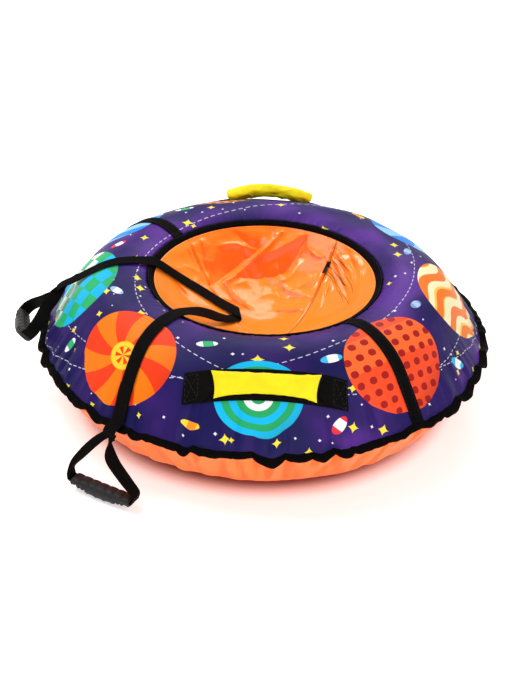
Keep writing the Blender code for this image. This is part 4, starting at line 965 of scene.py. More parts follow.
def seat_places(x, y, depth):
    """The seat's cloth: the dish, its creases, soft dents and the shallow gutters of its two seams. The cloth lies low
    beside the zip, where the slider runs, and nothing rises into the leash."""
    radius = np.hypot(x, y) / SEAT_RIM_RADIUS
    inside = eased((1 - radius) / 0.07)
    flat = np.stack([x, y, 0 * x], axis=-1)
    rear = eased((y + 0.05) / 0.16)
    crumple = (1 - 2 * np.abs(lumps(flat, 0.060, 43))) * 0.0026 + (1 - 2 * np.abs(lumps(flat, 0.028, 44))) * 0.0006
    dents = lumps(flat, 0.060, 41) * 0.0024 + crumple * (0.3 + 0.7 * rear)
    gutter, beside_zip = 0.0, 0.0
    for offset, angle in ((LEFT_SEAM_OFFSET, LEFT_SEAM_ANGLE), (ZIP_OFFSET, ZIP_ANGLE)):
        off = np.abs(x * math.cos(angle) + y * math.sin(angle) - offset)
        gutter = gutter - 0.0010 * np.exp(-((off / 0.0022) ** 2)) + 0.0008 * np.exp(-(((off - 0.006) / 0.003) ** 2))
        beside_zip = np.exp(-((off / 0.010) ** 2))
    pressed = under_leash(x, y)
    lift = (crease_field(x, y) * depth + dents) * (1 - 0.85 * beside_zip)
    lift = lift * (1 - pressed) + np.minimum(lift, 0) * pressed
    lift = np.where(lift > 0, lift * eased((radius - 0.02) / 0.1), lift)
    return np.stack([x, y, seat_height(x, y) + (lift + gutter) * inside], axis=-1)


def painted_seat_shade(grid):
    """How much painted shade the sheet gets at each place, from 0 to 1, drawn as deeper orange: most on steep folds and
    on folds that lean to the front, as if they were in shade. It is read from the surface's own slopes, so that it
    stays with the folds."""
    across = np.gradient(grid, axis=1)
    down = np.gradient(grid, axis=0)
    normals = unit(np.cross(across, down))
    normals = normals * np.sign(normals[..., 2:])
    plain = unit(np.stack([-grid[..., 0], -grid[..., 1], np.full(grid.shape[:2], SEAT_SPHERE)], axis=-1))
    steep = np.linalg.norm(normals - plain, axis=-1)
    front = eased((-normals[..., 1] - 0.05) / 0.55)
    return np.clip(0.66 * eased((steep - 0.10) / 0.42) * (0.35 + 0.65 * front) + 0.52 * front, 0, 1)


def seat_panel(name, node_name, cuts, finish, depth):
    """Part of the creased dish: rings round the axis, then cut by upright planes at each seam."""
    radius = SEAT_RIM_RADIUS * np.linspace(0.02, 1, 130)[:, None]
    turn = once_round(560)[None]
    grid = seat_places(radius * np.cos(turn), radius * np.sin(turn), depth)
    # Painted shade of the folds, read from the slopes
    deep = painted_seat_shade(np.concatenate([grid, grid[:, :1]], axis=1))[:, :-1]
    mesh = grid_mesh(name, grid, closed_columns=True)
    keep_painted_fold_shade(mesh, deep)
    with editing(mesh) as shape:
        fill_middle(shape)
        for distance, angle, keep in cuts:
            square = Vector((math.cos(angle), math.sin(angle), 0))
            bmesh.ops.bisect_plane(shape, geom=[*shape.verts, *shape.edges, *shape.faces], plane_co=square * distance,
                                   plane_no=square, clear_outer=keep < 0, clear_inner=keep > 0)
        face_along_z(shape, shape.faces, 1)
        area = sum(face.calc_area() for face in shape.faces)
    piece = add_piece(name, mesh, finish, replaces=[node_name])
    thicken(piece, 0.0010)


# Painted shade of the fine sharp gathers beside the zip, drawn as dark lines in the sheet's finish: two ends over the
# plan and half width
GATHER_SHADE_LINES = (
    ((0.1345, 0.1573), (0.1810, 0.0613), 0.0007), ((0.1306, 0.1495), (0.1766, 0.0418), 0.0007),
    ((0.1269, 0.1328), (0.1713, 0.0289), 0.0019), ((0.1269, 0.1170), (0.1526, 0.0405), 0.0008),
    ((0.1526, 0.0425), (0.1752, -0.0551), 0.0007), ((0.1209, 0.1158), (0.1490, 0.0460), 0.0007),
    ((0.1465, 0.0537), (0.1648, -0.0337), 0.0006), ((0.1681, 0.0751), (0.1833, -0.0142), 0.0006),
    ((0.1390, 0.1645), (0.1700, 0.1150), 0.0006),
)


def crease_shade_line(tree, place, start, end, half_width):
    """1 on a thin line of painted crease shade between two places over the plan: it thins out at both ends, as a
    parabola does.
    """
    turn = math.atan2(end[1] - start[1], end[0] - start[0])
    x, y, _ = axes_of(tree, local_place(tree, place, start, turn, (math.dist(start, end), 1)))
    room = calc(tree, "MULTIPLY", calc(tree, "MULTIPLY", x, calc(tree, "SUBTRACT", 1.0, x)), 4 * half_width)
    waved = calc(tree, "MULTIPLY_ADD", wave(tree, x, 9.0), 0.0012, y)
    return ramp(tree, calc(tree, "SUBTRACT", room, calc(tree, "ABSOLUTE", waved)), -0.0002, 0.0003)


def folded_sheet(name, light, deep):
    """Glossy coated sheet with painted shade: its orange deepens on the folds, as the mesh's own stored shade says, and
    painted shade lines mark the gathers beside the zip; with fine crazing, small dents that break its gloss and faint
    pale rub marks."""
    made, tree, shader = new_material(name)
    place = object_place(tree)
    drift = noise(tree, place, 9, 3, 0.55)
    colour = mixed(tree, ramp(tree, fold_shade_share(tree, drift, 0.5), 0.05, 0.85), light, deep)
    rubbed = ramp(tree, noise(tree, place, 34, 4, 0.65, 0.6), 0.60, 0.80, 0.0, 0.10)
    colour = mixed(tree, rubbed, colour, (1.0, 0.44, 0.14))
    # Painted shade: each gather's crease drawn as a dark red line
    for row in GATHER_SHADE_LINES:
        colour = mixed(tree, calc(tree, "MULTIPLY", crease_shade_line(tree, place, *row), 0.8), colour, (0.20, 0.020, 0.004))
    dents = noise(tree, place, 55, 3, 0.55, 0.8)
    bump(tree, shader, calc(tree, "MULTIPLY_ADD", noise(tree, place, 900, 1), 0.03, dents), 0.09, 0.0020)
    dress(tree, shader, colour, ramp(tree, drift, 0.3, 0.7, 0.16, 0.25), 0.28,
          {"Coat Weight": 0.07, "Coat Roughness": 0.08})
    return made


def seat(context):
    """The three panels of the hanging seat."""
    colours = context.scene.snow_tube_colours
    depth = context.scene.snow_tube_sizes.crease_depth
    # The sheet's flat colour, and the painted shade colour of its folds
    finish = folded_sheet("seat_sheet", colours.seat_light, colours.seat_fold_shade)
    left, zipped, gap = LEFT_SEAM_OFFSET, ZIP_OFFSET, 0.0005
    off_left = (left - gap / 2, LEFT_SEAM_ANGLE, -1)
    for side, cuts in (("left", [(left + gap / 2, LEFT_SEAM_ANGLE, 1)]),
                       ("middle", [off_left, (zipped - gap, ZIP_ANGLE, -1)]),
                       ("right", [off_left, (zipped + gap, ZIP_ANGLE, 1)])):
        seat_panel(f"seat_{side}_cloth", f"seat_panel_{side}", cuts, finish, depth)


# Section of one tooth of the zip's coil, once round: places across the zip and up
TOOTH_SECTION = ((-0.0021, 0.0), (-0.0016, 0.0007), (0.0, 0.0009), (0.0010, 0.0004), (0.0010, -0.0002),
                 (-0.0016, -0.0003))
TOOTH_PITCH, TOOTH_HALF_LENGTH = 0.0016, 0.00036


def zip_fastener(context):
    """The zip under the seat's slit: two woven tapes side by side, and a coil of small bent teeth that lean over the
    middle from each tape in turn, all carried along the seam on the dish."""
    colours = context.scene.snow_tube_colours
    square = np.array([math.cos(ZIP_ANGLE), math.sin(ZIP_ANGLE)])
    along = np.array([-square[1], square[0]])
    half = math.sqrt(SEAT_RIM_RADIUS**2 - ZIP_OFFSET**2) - 0.008
    reach = np.linspace(-half, half, 240)
    plan = ZIP_OFFSET * square + reach[:, None] * along
    centres = np.column_stack([plan, seat_places(plan[:, 0], plan[:, 1], 0.0)[..., 2] - 0.0010])
    edges = np.broadcast_to(np.append(square, 0), centres.shape)
    up = unit(np.cross(np.gradient(centres, axis=0), edges))
    up = up * np.sign(up[:, 2:])
    tape = webbing_mesh("zip_tapes", centres - up * 0.0012, edges, up, 0.0085, 0.0006)
    add_piece("zip_tapes", tape, woven_webbing("zip_tape", colours.tape, 0.0010), replaces=["zip_chain"])
    places, _ = spaced(np.hstack([centres, up]), int(length_of(centres) / TOOTH_PITCH))
    forward = unit(np.gradient(places[:, :3], axis=0))
    hand = np.where(np.arange(len(places)) % 2, 1.0, -1.0)[:, None, None]
    ring = np.array(TOOTH_SECTION)
    section = (places[:, None, :3] + edges[0] * ring[None, :, :1] * hand
               + places[:, None, 3:] * (ring[None, :, 1:] - 0.0002))
    corners = np.concatenate([section + forward[:, None] * end for end in (-TOOTH_HALF_LENGTH, TOOTH_HALF_LENGTH)],
                             axis=1)
    block = [(i, (i + 1) % 6, 6 + (i + 1) % 6, 6 + i) for i in range(6)] + [tuple(range(6)), tuple(range(6, 12))]
    faces = [tuple(corner + 12 * tooth for corner in face) for tooth in range(len(places)) for face in block]
    add_piece("zip_teeth", blocks_mesh("zip_teeth", corners, faces), moulded("zip_coil", colours.grip, 0.4, 1500),
              smooth=False)


# Webbing, handles, grips and leash


def webbing_section(columns=7):
    """Shares across the width and through the thickness of a flat webbing with rounded edges, once round."""
    across = np.linspace(-0.97, 0.97, columns)
    top = np.column_stack([across, 0.5 * (1 - 0.12 * across**6)])
    ring = [(1.0, 0.22), (1.0, -0.22)]
    return np.vstack([top, ring, top[::-1] * (1, -1), [(-1.0, -0.22), (-1.0, 0.22)]])


def webbing_mesh(name, centres, edges, up, half_width, thickness):
    """Webbing through centres: its section lies along the vector to one edge and the direction up, with its ends cut
    square. Its map runs along the length and across the width in metres."""
    section = webbing_section()
    width = np.broadcast_to(np.asarray(half_width, float), len(centres))[:, None, None]
    grid = (centres[:, None] + edges[:, None] * section[None, :, :1] * width
            + up[:, None] * section[None, :, 1:] * thickness)
    side = section[None, :, 0] * width[..., 0] + np.where(section[None, :, 1] < 0, 0.04, 0.0)
    uv = paired(way_along(centres)[:, None], side)
    return outwards(grid_mesh(name, grid, closed_columns=True, caps=True, uv=uv))


def cover_webbing(name, plan, width, lift):
    """Webbing that hugs the cover along plan points. Its width is measured on the cloth: over the plan it is divided
    by the root of 1 and the square of the cover's slope across it."""
    along = unit(np.gradient(plan, axis=0))
    side = np.column_stack([-along[:, 1], along[:, 0]])
    section = webbing_section()
    radius = np.hypot(plan[:, 0], plan[:, 1])
    steep = cover_slope(radius, 0.0005) * (side * plan).sum(axis=1) / radius
    half = np.broadcast_to(np.asarray(width, float) / 2, len(plan)) / np.sqrt(1 + steep**2)
    across = half[:, None] * section[None, :, 0]
    rise = (np.broadcast_to(np.asarray(lift, float), len(plan))[:, None]
            + (section[None, :, 1] + 0.5) * WEBBING_THICKNESS)
    grid, _ = cover_places(plan[:, None] + side[:, None] * across[..., None], rise)
    uv = paired(way_along(grid[:, 0])[:, None], across + np.where(section[None, :, 1] < 0, 0.06, 0.0))
    return outwards(grid_mesh(name, grid, closed_columns=True, caps=True, uv=uv))


def sewn_straps(context):
    """The two straps sewn down from the opening to the seam."""
    finish = black_webbing(context)
    for name, degrees in STRAPS.items():
        angle = math.radians(degrees)
        radius = np.linspace(OPENING_RADIUS - 0.001, FLANGE_RADIUS - 0.0016, 90)
        plan = np.column_stack([radius * math.cos(angle), radius * math.sin(angle)])
        mesh = cover_webbing(f"{name}_webbing", plan, context.scene.snow_tube_sizes.webbing_width, WORN_GAP)
        add_webbing(f"{name}_webbing", mesh, finish, replaces=[name])


def handle_line(side, half, count):
    """A handle's line over the plan: across the tube, and in front bowed outwards as a parabola."""
    distance = np.linspace(-half, half, count)
    bow = HANDLE_BOW * (1 - (distance / (HANDLE_LENGTH / 2)) ** 2) if side < 0 else 0 * distance
    return np.column_stack([distance + HANDLE_SHIFT, side * (HANDLE_DISTANCE + bow)])


def handle_rise(distance, arch):
    """Height of the handle's webbing over its base strip: 1 less a power of the distance, which is 2 for the flat
    front handle and 1.5 for the pointed rear one, smoothed where it meets the sewn ends."""
    share = np.abs(distance) / (HANDLE_LENGTH / 2 - HANDLE_ROOT)
    bent = 1.5 if arch > 0.01 else 2
    return arch * np.where(share < 1, (1 - np.clip(share, 0, 1) ** bent) ** 1.2, 0)


def sleeve_grid(name):
    """The padded sleeve's places: sections set up along the webbing's arch. Each section is a rounded flat form, widest
    and lowest at the sewn ends, which are drawn in between their corners; wrinkles run across it and grow below."""
    side, length, arch, half_width, end_width, height, end_height, lean, wrinkle = HANDLES[name]
    stations, sides = 150, 56
    plan = handle_line(side, length / 2, stations)
    share = np.linspace(-1, 1, stations)
    places, normals = cover_places(plan)
    normals = unit(normals + (0, side * lean, 0))
    centres = places + normals * (0.0034 + handle_rise(plan[:, 0] - HANDLE_SHIFT, arch))[:, None]
    along = unit(np.gradient(centres, axis=0))
    across = unit(np.cross(normals, along))
    up = np.cross(along, across)
    flare = np.abs(share)[:, None] ** 3
    wide_half = half_width + (end_width - half_width) * flare
    tall = height + (end_height - height) * np.abs(share)[:, None] ** 5
    turn = once_round(sides)[None]
    wide = signed_power(np.cos(turn), 0.72)
    level = signed_power(np.sin(turn), np.where(np.sin(turn) > 0, 0.85, 0.55))
    lift = np.where(level > 0, 0.62, 0.38) * level + 0.38
    drawn = (0.0050 * np.abs(wide) ** 2.5 - 0.0020) * np.abs(share[:, None]) ** 9 * np.sign(share[:, None])
    grid = (centres[:, None] + across[:, None] * (wide * wide_half)[..., None]
            + up[:, None] * (lift * tall - 0.0022)[..., None] + along[:, None] * drawn[..., None])
    facing = across[:, None] * np.cos(turn)[..., None] + up[:, None] * np.sin(turn)[..., None]
    flow = grid * (0.8, 1, 1)
    below = 0.5 - 0.5 * np.sin(turn)
    folds = (1 - 2 * np.abs(lumps(flow, 0.019, 62 + side))) * (0.25 + below)
    folds = folds + lumps(flow * (0.5, 1, 1), 0.016, 64 + side) * 0.6
    near_end = 0.0012 * lumps(flow * (0.35, 1, 1), 0.008, 66 + side) * np.abs(share)[:, None] ** 4
    return grid + facing * (wrinkle * folds + near_end)[..., None], centres, across, up, (wide, lift, wide_half, tall)


def padded_handles(context):
    """The two handles: base strip, arched webbing, foam and padded sleeve."""
    yellow = context.scene.snow_tube_colours.sleeve
    webbing = black_webbing(context)
    cloth = plain_cloth("yellow_cloth", yellow, toned(yellow, 0.90), 0.55)
    foam = moulded("foam", (0.55, 0.55, 0.52), 0.9, 400)
    for name in HANDLES:
        padded_handle(name, webbing, cloth, foam)


def padded_handle(name, webbing, cloth, foam):
    """One handle. Its webbing narrows where it goes into the sleeve, and the foam is a smaller copy of the sleeve's
    own sections round it."""
    side, length, arch = HANDLES[name][:3]
    plan = handle_line(side, HANDLE_LENGTH / 2, 110)
    base = cover_webbing(f"{name}_base", plan, HANDLE_STRIP_WIDTH, WORN_GAP)
    add_webbing(f"{name}_base", base, webbing, replaces=[f"{name}_base_strip"])

    distance = plan[:, 0] - HANDLE_SHIFT
    root = HANDLE_LENGTH / 2 - HANDLE_ROOT
    gather = np.clip((root - np.abs(distance)) / (root - length / 2 + 0.004), 0, 1)
    width = HANDLE_STRIP_WIDTH * 0.97 + (0.026 - HANDLE_STRIP_WIDTH) * eased(gather)
    strap = cover_webbing(f"{name}_strap", plan, width, 0.0030 + handle_rise(distance, arch))
    add_webbing(f"{name}_strap", strap, webbing, replaces=[f"{name}_webbing"])

    grid, centres, across, up, (wide, lift, half_width, tall) = sleeve_grid(name)
    mesh = outwards(grid_mesh(f"{name}_cover", grid, closed_columns=True))
    sleeve = add_piece(f"{name}_cover", mesh, cloth, replaces=[f"{name}_sleeve"])
    thicken(sleeve, 0.0010)

    inner, smaller = slice(6, -6), 0.74
    filling = (centres[inner, None] + across[inner, None] * (wide * half_width[inner] * smaller)[..., None]
               + up[inner, None] * np.maximum(lift * tall[inner] * smaller - 0.0014, 0.0022)[..., None])
    block = outwards(grid_mesh(f"{name}_filling", filling, closed_columns=True, caps=True))
    piece = add_piece(f"{name}_filling", block, foam, replaces=[f"{name}_foam"])


def stitch_rows():
    """All rows of black stitches on the cover, as lines over the plan: along the straps' edges, round the handles' sewn
    ends with a cross in each, and at the straps' ends."""
    rows = []
    edge = 0.0095
    for degrees in STRAPS.values():
        out, beside = around(np.radians([degrees, degrees + 90]), 1.0)[:, :2]
        for offset in (-edge, edge):
            rows.append([radius * out + offset * beside for radius in (OPENING_RADIUS + 0.004, FLANGE_RADIUS - 0.008)])
        for radius in (OPENING_RADIUS + 0.004, OPENING_RADIUS + 0.008):
            rows.append([radius * out + offset * beside for offset in (-edge, edge)])
    half = 0.0150
    for side, *_ in HANDLES.values():
        for end in (-1, 1):
            first, second = end * (HANDLE_LENGTH / 2 - 0.003), end * (HANDLE_LENGTH / 2 - 0.026)
            corners = [(first, -half), (first, half), (second, half), (second, -half)]
            corners = [np.array([x + HANDLE_SHIFT, side * (HANDLE_DISTANCE + 0.002) + y]) for x, y in corners]
            rows += [[corners[i], corners[j]] for i, j in ((0, 1), (1, 2), (2, 3), (3, 0), (0, 2), (1, 3))]
    return rows


def add_stitches(name, rows, thread, width=0.0007, height=0.0006):
    """Stitches as small bars with drawn-in ends, eight corners each, from rows of their starts, ends and normals."""
    starts, ends, normals = (np.vstack(part) for part in zip(*rows))
    side = np.cross(normals, unit(ends - starts)) * width / 2
    rise = normals * height
    inset = (ends - starts) * 0.22
    points = np.stack([starts - side * 0.6, starts + side * 0.6, ends + side * 0.6, ends - side * 0.6,
                       starts + inset - side * 0.5 + rise, starts + inset + side * 0.5 + rise,
                       ends - inset + side * 0.5 + rise, ends - inset - side * 0.5 + rise], axis=1)
    block = np.array([(0, 3, 2, 1), (4, 5, 6, 7), (0, 1, 5, 4), (2, 3, 7, 6), (1, 2, 6, 5), (3, 0, 4, 7)])
    faces = (block[None] + 8 * np.arange(len(starts))[:, None, None]).reshape(-1, 4)
    add_piece(name, blocks_mesh(name, points, faces.tolist()), thread, smooth=False)


def sewing(context):
    """The visible stitches: black ones on the straps, the handles and the opening's tape, and yellow ones round the
    ends of the sleeves, all with the chosen length and a gap of two thirds of it."""
    colours = context.scene.snow_tube_colours
    pitch = context.scene.snow_tube_sizes.stitch_length * STITCH_PITCH
    rows = []
    for row in stitch_rows():
        line, _ = spaced(row, max(3, int(math.dist(row[0], row[1]) * 1.25 / pitch)))
        heads, tails = line[:-1], line[:-1] + (line[1:] - line[:-1]) / STITCH_PITCH
        # A handle's sewn ends are two webbings thick, and a stitch starts a little inside the webbing
        on_handle = np.abs(np.abs(heads[:, 1]) - HANDLE_DISTANCE).max() < 0.03
        lift = WORN_GAP + WEBBING_THICKNESS + (0.0024 if on_handle else 0.0) - 0.0002
        first, normal = cover_places(heads, lift)
        rows.append((first, cover_places(tails, lift)[0], normal))
    count = int(2 * math.pi * (OPENING_RADIUS - 0.0030) / pitch)
    turn = once_round(count)
    step = 2 * math.pi / count / STITCH_PITCH
    first, last = (binding_places(at, 0.78, 1.0, 1.0) for at in (turn, turn + step))
    rows.append((first, last, np.broadcast_to((0.0, 0.0, 1.0), first.shape)))
    add_stitches("black_stitches", rows, moulded("thread", toned(colours.webbing, 1.7, 0.004), 0.5, 1500))

    rows = []
    for name in HANDLES:
        grid = sleeve_grid(name)[0]
        for station in (5, -6):
            ring = np.vstack([grid[station], grid[station][:1]])
            line, _ = spaced(ring, int(length_of(ring) / pitch))
            out = unit(line[:-1] - grid[station].mean(axis=0))
            start = line[:-1] + out * 0.0002
            rows.append((start, start + (line[1:] - line[:-1]) / STITCH_PITCH, out))
    add_stitches("yellow_stitches", rows, moulded("yellow_thread", toned(colours.sleeve, 0.8), 0.5, 1500))


def grip_frame(place, angle, lean):
    """A frame at a place, turned about the vertical and then leant about the grip's length, in degrees."""
    return (Matrix.Translation(place) @ Matrix.Rotation(math.radians(angle), 4, "Z")
            @ Matrix.Rotation(math.radians(lean), 4, "X"))


def grip_places():
    """Frames of the two grips: the front one lies on the floor, and the other hangs over the left rim."""
    base = GRIP_HEIGHT - GRIP_END_HEIGHT / 2 + GRIP_FINGER_DEPTH + 0.0002
    return {"front_grip": grip_frame((-0.2930, -0.4060, base), -30, 0),
            "leash_grip": grip_frame((-0.4870, -0.0300, 0.1470), -90, -45)
            @ Matrix.Rotation(math.radians(-16), 4, "Y")}


def grip_mesh(name, place):
    """A bowed grip: rounded sections along X whose height is a parabola, with finger hollows on one side, each as deep
    as a low power of a cosine says, three notches near each end of the other, and rounded ends."""
    stations, sides = 220, 40
    share = np.sin(np.linspace(-math.pi / 2, math.pi / 2, stations))
    height = GRIP_END_HEIGHT * (1 - 0.14 * share**2) + (GRIP_HEIGHT - GRIP_END_HEIGHT) * (1 - share**2)
    close = np.sqrt(np.clip(1 - ((np.abs(share) - 0.965) / 0.035).clip(0, 1) ** 2, 0, 1)) * 0.35 + 0.65
    thick = GRIP_THICKNESS * (1 - 0.1 * share**4)
    fingers = np.abs(np.cos(3.5 * math.pi * share)) ** 0.6
    top = GRIP_END_HEIGHT / 2 + GRIP_FINGER_DEPTH * (fingers * (np.abs(share) < 0.95) - 1)
    middle = top - height / 2
    turn = once_round(sides)[None]
    tall = np.sin(turn)
    notch = sum(np.exp(-(((np.abs(share) - notch_share) / 0.036) ** 4)) for notch_share in (0.54, 0.68, 0.82))
    narrowed = 1 - 0.34 * notch[:, None] * eased((0.25 - tall) / 0.25)
    grid = np.empty((stations, sides, 3))
    grid[..., 0] = share[:, None] * GRIP_LENGTH / 2
    grid[..., 1] = signed_power(np.cos(turn), 0.6) * (thick * close)[:, None] / 2 * narrowed
    grid[..., 2] = middle[:, None] + tall * (height * close)[:, None] / 2 * narrowed
    grid = grid @ np.array(place.to_3x3()).T + np.array(place.translation)
    return outwards(grid_mesh(name, grid, closed_columns=True, caps=True))


# Shares of the way out from the middle and up to the sewn end, down each leg of a loop, and how far the band's edge has
# turned there, in quarter turns: at the seam it lies along it, and at the grip across it
LOOP_LEGS = {
    "front_grip": (
        ((0, 1, 0), (0.16, 0.92, 0.15), (0.35, 0.80, 0.3), (0.58, 0.61, 0.4), (0.82, 0.38, 0.6), (0.99, 0.16, 1)),
        ((0, 1, 2), (0.00, 0.93, 1.7), (0.00, 0.80, 1.15), (0.20, 0.57, 0.5), (0.66, 0.33, 0.5), (0.99, 0.16, 1)),
    ),
    "leash_grip": (
        ((0, 1, 2), (0.03, 0.85, 1.7), (0.12, 0.68, 1.25), (0.34, 0.50, 1.0), (0.72, 0.33, 1), (0.98, 0.16, 1)),
        ((0, 1, 0), (0.02, 0.87, 0.3), (0.08, 0.70, 0.75), (0.30, 0.53, 1.0), (0.72, 0.34, 1), (0.99, 0.16, 1)),
    ),
}


def loop_route(name, place, knot, along):
    """From the sewn end down one leg, through the grip and up the other, with the vector to one edge at each place. The
    edge turns from the way it faces at the sewn end to across the grip."""
    first = place.to_3x3().inverted() @ Vector(along)
    pinch, bend, end = 0.0030, 0.0060, GRIP_LENGTH / 2
    sewn = place.inverted() @ Vector(knot)
    legs = []
    for hand, rows in zip((-1, 1), LOOP_LEGS[name]):
        leg = []
        for out_share, up_share, turned in rows:
            out = hand * (pinch / 2 + out_share * (end + bend))
            turn = turned * math.pi / 2
            edge = first * -math.cos(turn) - Vector((0, math.sin(turn), 0))
            leg.append((sewn.x * up_share + out, sewn.y * up_share**1.5, sewn.z * up_share, *edge))
        legs.append(leg)
    corner = [(end + bend, 0, bend * 0.9), (end + bend * 0.75, 0, bend * 0.22)]
    slot = [(share * end, 0, 0) for share in (-0.98, -0.9, -0.5, 0, 0.5, 0.9, 0.98)]
    across = (0, -1, 0)
    route = legs[0] + [(-x, y, z, *across) for x, y, z in corner] + [(*point, *across) for point in slot]
    route = np.array(route + [(*point, *across) for point in corner[::-1]] + legs[1][::-1])
    turn = np.array(place.to_3x3()).T
    return np.hstack([route[:, :3] @ turn + np.array(place.translation), route[:, 3:] @ turn])


def route_webbing(name, route, sides, half_width):
    """Webbing on a smooth line through listed places, with the vector to one edge at each, and that line."""
    rows = smooth_path(np.hstack([np.asarray(route), np.asarray(sides)]), 8)
    path, edge = rows[:, :3], rows[:, 3:]
    up = unit(np.cross(np.gradient(path, axis=0), edge))
    return webbing_mesh(name, path, edge, up, half_width, WEBBING_THICKNESS), path


def hand_grips(webbing, plastic):
    """Each grip with its loop, and the line that the loop follows."""
    for name, knot, along, body in (("front_grip", FRONT_KNOT, (0.866, -0.5, 0), "front_grip"),
                                    ("leash_grip", LEASH_KNOT, (0.12, -0.98, 0.05), "tube")):
        place = grip_places()[name]
        grip = add_piece(f"{name}_moulding", grip_mesh(f"{name}_moulding", place), plastic, body=body, replaces=[name])
        route = loop_route(name, place, knot, along)
        mesh, path = route_webbing(f"{name}_band", route[:, :3], route[:, 3:], LOOP_HALF_WIDTH)
        band = add_webbing(f"{name}_band", mesh, webbing, body=body, replaces=[f"{name}_loop"])
        yield grip, band, path


# The sewn tab over the tape, where the leash and the front grip's loop meet: angle, distance and height
TAB_ROUTE = (
    (-128.4, 0.4060, 0.1990), (-128.0, 0.4145, 0.1900), (-127.3, 0.4310, 0.1658), (-126.7, 0.4470, 0.1440),
    (-126.5, 0.4550, 0.1415), (-126.5, 0.4640, 0.1400), (-126.5, 0.4715, 0.1350), (-126.5, 0.4738, 0.1270),
    (-126.5, 0.4728, 0.1195),
)


def leash_tab(webbing):
    """The webbing's own end, folded over the gathered tape: a band through the places above, as wide as the leash."""
    rows = np.array(TAB_ROUTE)
    route = around(np.radians(rows[:, 0]), rows[:, 1], rows[:, 2])
    turn = math.radians(rows[-1, 0])
    sides = [(math.sin(turn), -math.cos(turn), 0)] * len(route)
    mesh, _ = route_webbing("leash_end_tab", route, sides, LEASH_HALF_WIDTH)
    add_webbing("leash_end_tab", mesh, webbing)


def leash_and_grips(context):
    """The tow leash and both grips with their loops."""
    webbing = black_webbing(context)
    plastic = moulded("grip_plastic", context.scene.snow_tube_colours.grip, 0.46, 900, gloss=0.16)
    (front_grip, front_band, front_path), (leash_grip, leash_band, leash_loop) = hand_grips(webbing, plastic)
    tuple(front_path[0])
    length_of(front_path)
    mesh, path = route_webbing("leash_band", LEASH_ROUTE, LEASH_SIDES, LEASH_HALF_WIDTH)
    leash = add_webbing("leash_band", mesh, webbing, replaces=["leash_webbing"])
    leash_tab(webbing)
    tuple(LEASH_ROUTE[0])
    length_of(path)
    tuple(leash_loop[0])
    length_of(leash_loop)


# The stage

# The lights: place, size and power
LIGHTS = {
    "key": ((-1.5, 0.2, 3.0), 1.8, 50),
    "fill": ((1.4, -2.2, 2.0), 2.2, 26),
    "back": ((0.6, 2.4, 2.4), 1.6, 34),
    "streak": ((-1.1, 1.5, 1.9), 0.35, 9),
    "low": ((0.3, -2.4, 0.4), 1.2, 10),
}


def floor_finish():
    """A pale floor that glows a little, so that it stays as pale as the world, with the tube's shadow painted in:
    within 0.37 m of the axis its colour is darker and warm, and the glow fades in from there."""
    made, tree, shader = new_material("floor")
    place = object_place(tree)
    away = vector_calc(tree, "LENGTH", place)
    pale = mixed(tree, noise(tree, place, 3, 2), (0.93, 0.922, 0.925), (0.96, 0.952, 0.955))
    # Painted shadow: a dark warm colour near the axis, under the tube, and a glow that only fades in outside it
    colour = mixed(tree, ramp(tree, away, 0.342, 0.372), (0.46, 0.21, 0.18), pale)
    dress(tree, shader, colour, 0.8, 0.2, {"Emission Color": (1.0, 0.985, 0.99, 1.0),
                                           "Emission Strength": ramp(tree, away, 0.360, 0.408, 0.0, 0.48)})
    return made


def studio(context):
    """A pale floor, a white world and soft lights, the smallest of which draws the gloss on the seat."""
    scene = context.scene
    scene.view_settings.view_transform = "Standard"
    scene.world = bpy.data.worlds.new("studio")
    scene.world.use_nodes = True
    tree = scene.world.node_tree
    put_all(tree, tree.nodes["Background"], {"Color": (1.0, 1.0, 1.0, 1.0), "Strength": 0.42})
    mesh = grid_mesh("floor", around(once_round(48)[None], np.array([[0.02], [12.0]])), closed_columns=True)
    mesh.materials.append(floor_finish())
    floor = bpy.data.objects.new("floor", mesh)
    scene.collection.objects.link(floor)
    for name, (place, size, power) in LIGHTS.items():
        lamp = bpy.data.lights.new(name, "AREA")
        lamp.size = size
        lamp.energy = power
        light = bpy.data.objects.new(name, lamp)
        light.location = place
        light.rotation_euler = (Vector((0, 0, 0.15)) - Vector(place)).to_track_quat("-Z", "Y").to_euler()
        scene.collection.objects.link(light)


def photo_camera(context):
    """The camera at the photograph's viewing angle."""
    forward = Vector((0, math.cos(CAMERA_DOWN), -math.sin(CAMERA_DOWN)))
    right = Vector((1, 0, 0))
    up = right.cross(forward)
    rolled_right = right * math.cos(CAMERA_ROLL) + up * math.sin(CAMERA_ROLL)
    rolled_up = up * math.cos(CAMERA_ROLL) - right * math.sin(CAMERA_ROLL)
    data = bpy.data.cameras.new("photo_camera")
    data.lens, data.sensor_width = CAMERA_LENS, CAMERA_SENSOR
    camera = bpy.data.objects.new("photo_camera", data)
    turn = Matrix((rolled_right, rolled_up, -forward)).transposed().to_4x4()
    camera.matrix_world = Matrix.Translation(CAMERA_PLACE) @ turn
    context.scene.collection.objects.link(camera)
    context.scene.camera = camera


# The inner tube's oval section: distance and height of its middle, and half its width and height
RUBBER_RADIUS, RUBBER_MIDDLE, RUBBER_OUTWARD, RUBBER_UPWARD = 0.286, 0.1366, 0.109, 0.1336


def inner_tube(context):
    """The rubber ring: an oval section carried round, with faint mould lines along its outer and inner sides."""
    turn, angle = once_round(160)[:, None], once_round(48)[None]
    line = 0.0008 * np.exp(-((np.sin(angle) / 0.06) ** 2))
    radius = RUBBER_RADIUS + (RUBBER_OUTWARD + line) * np.cos(angle)
    height = RUBBER_MIDDLE + RUBBER_UPWARD * np.sin(angle)
    mesh = outwards(grid_mesh("inner_tube_rubber", around(turn, radius, height), closed_rows=True, closed_columns=True))
    add_piece("inner_tube_rubber", mesh, moulded("butyl", (0.018, 0.018, 0.018), 0.55, 260), replaces=["inner_tube"])


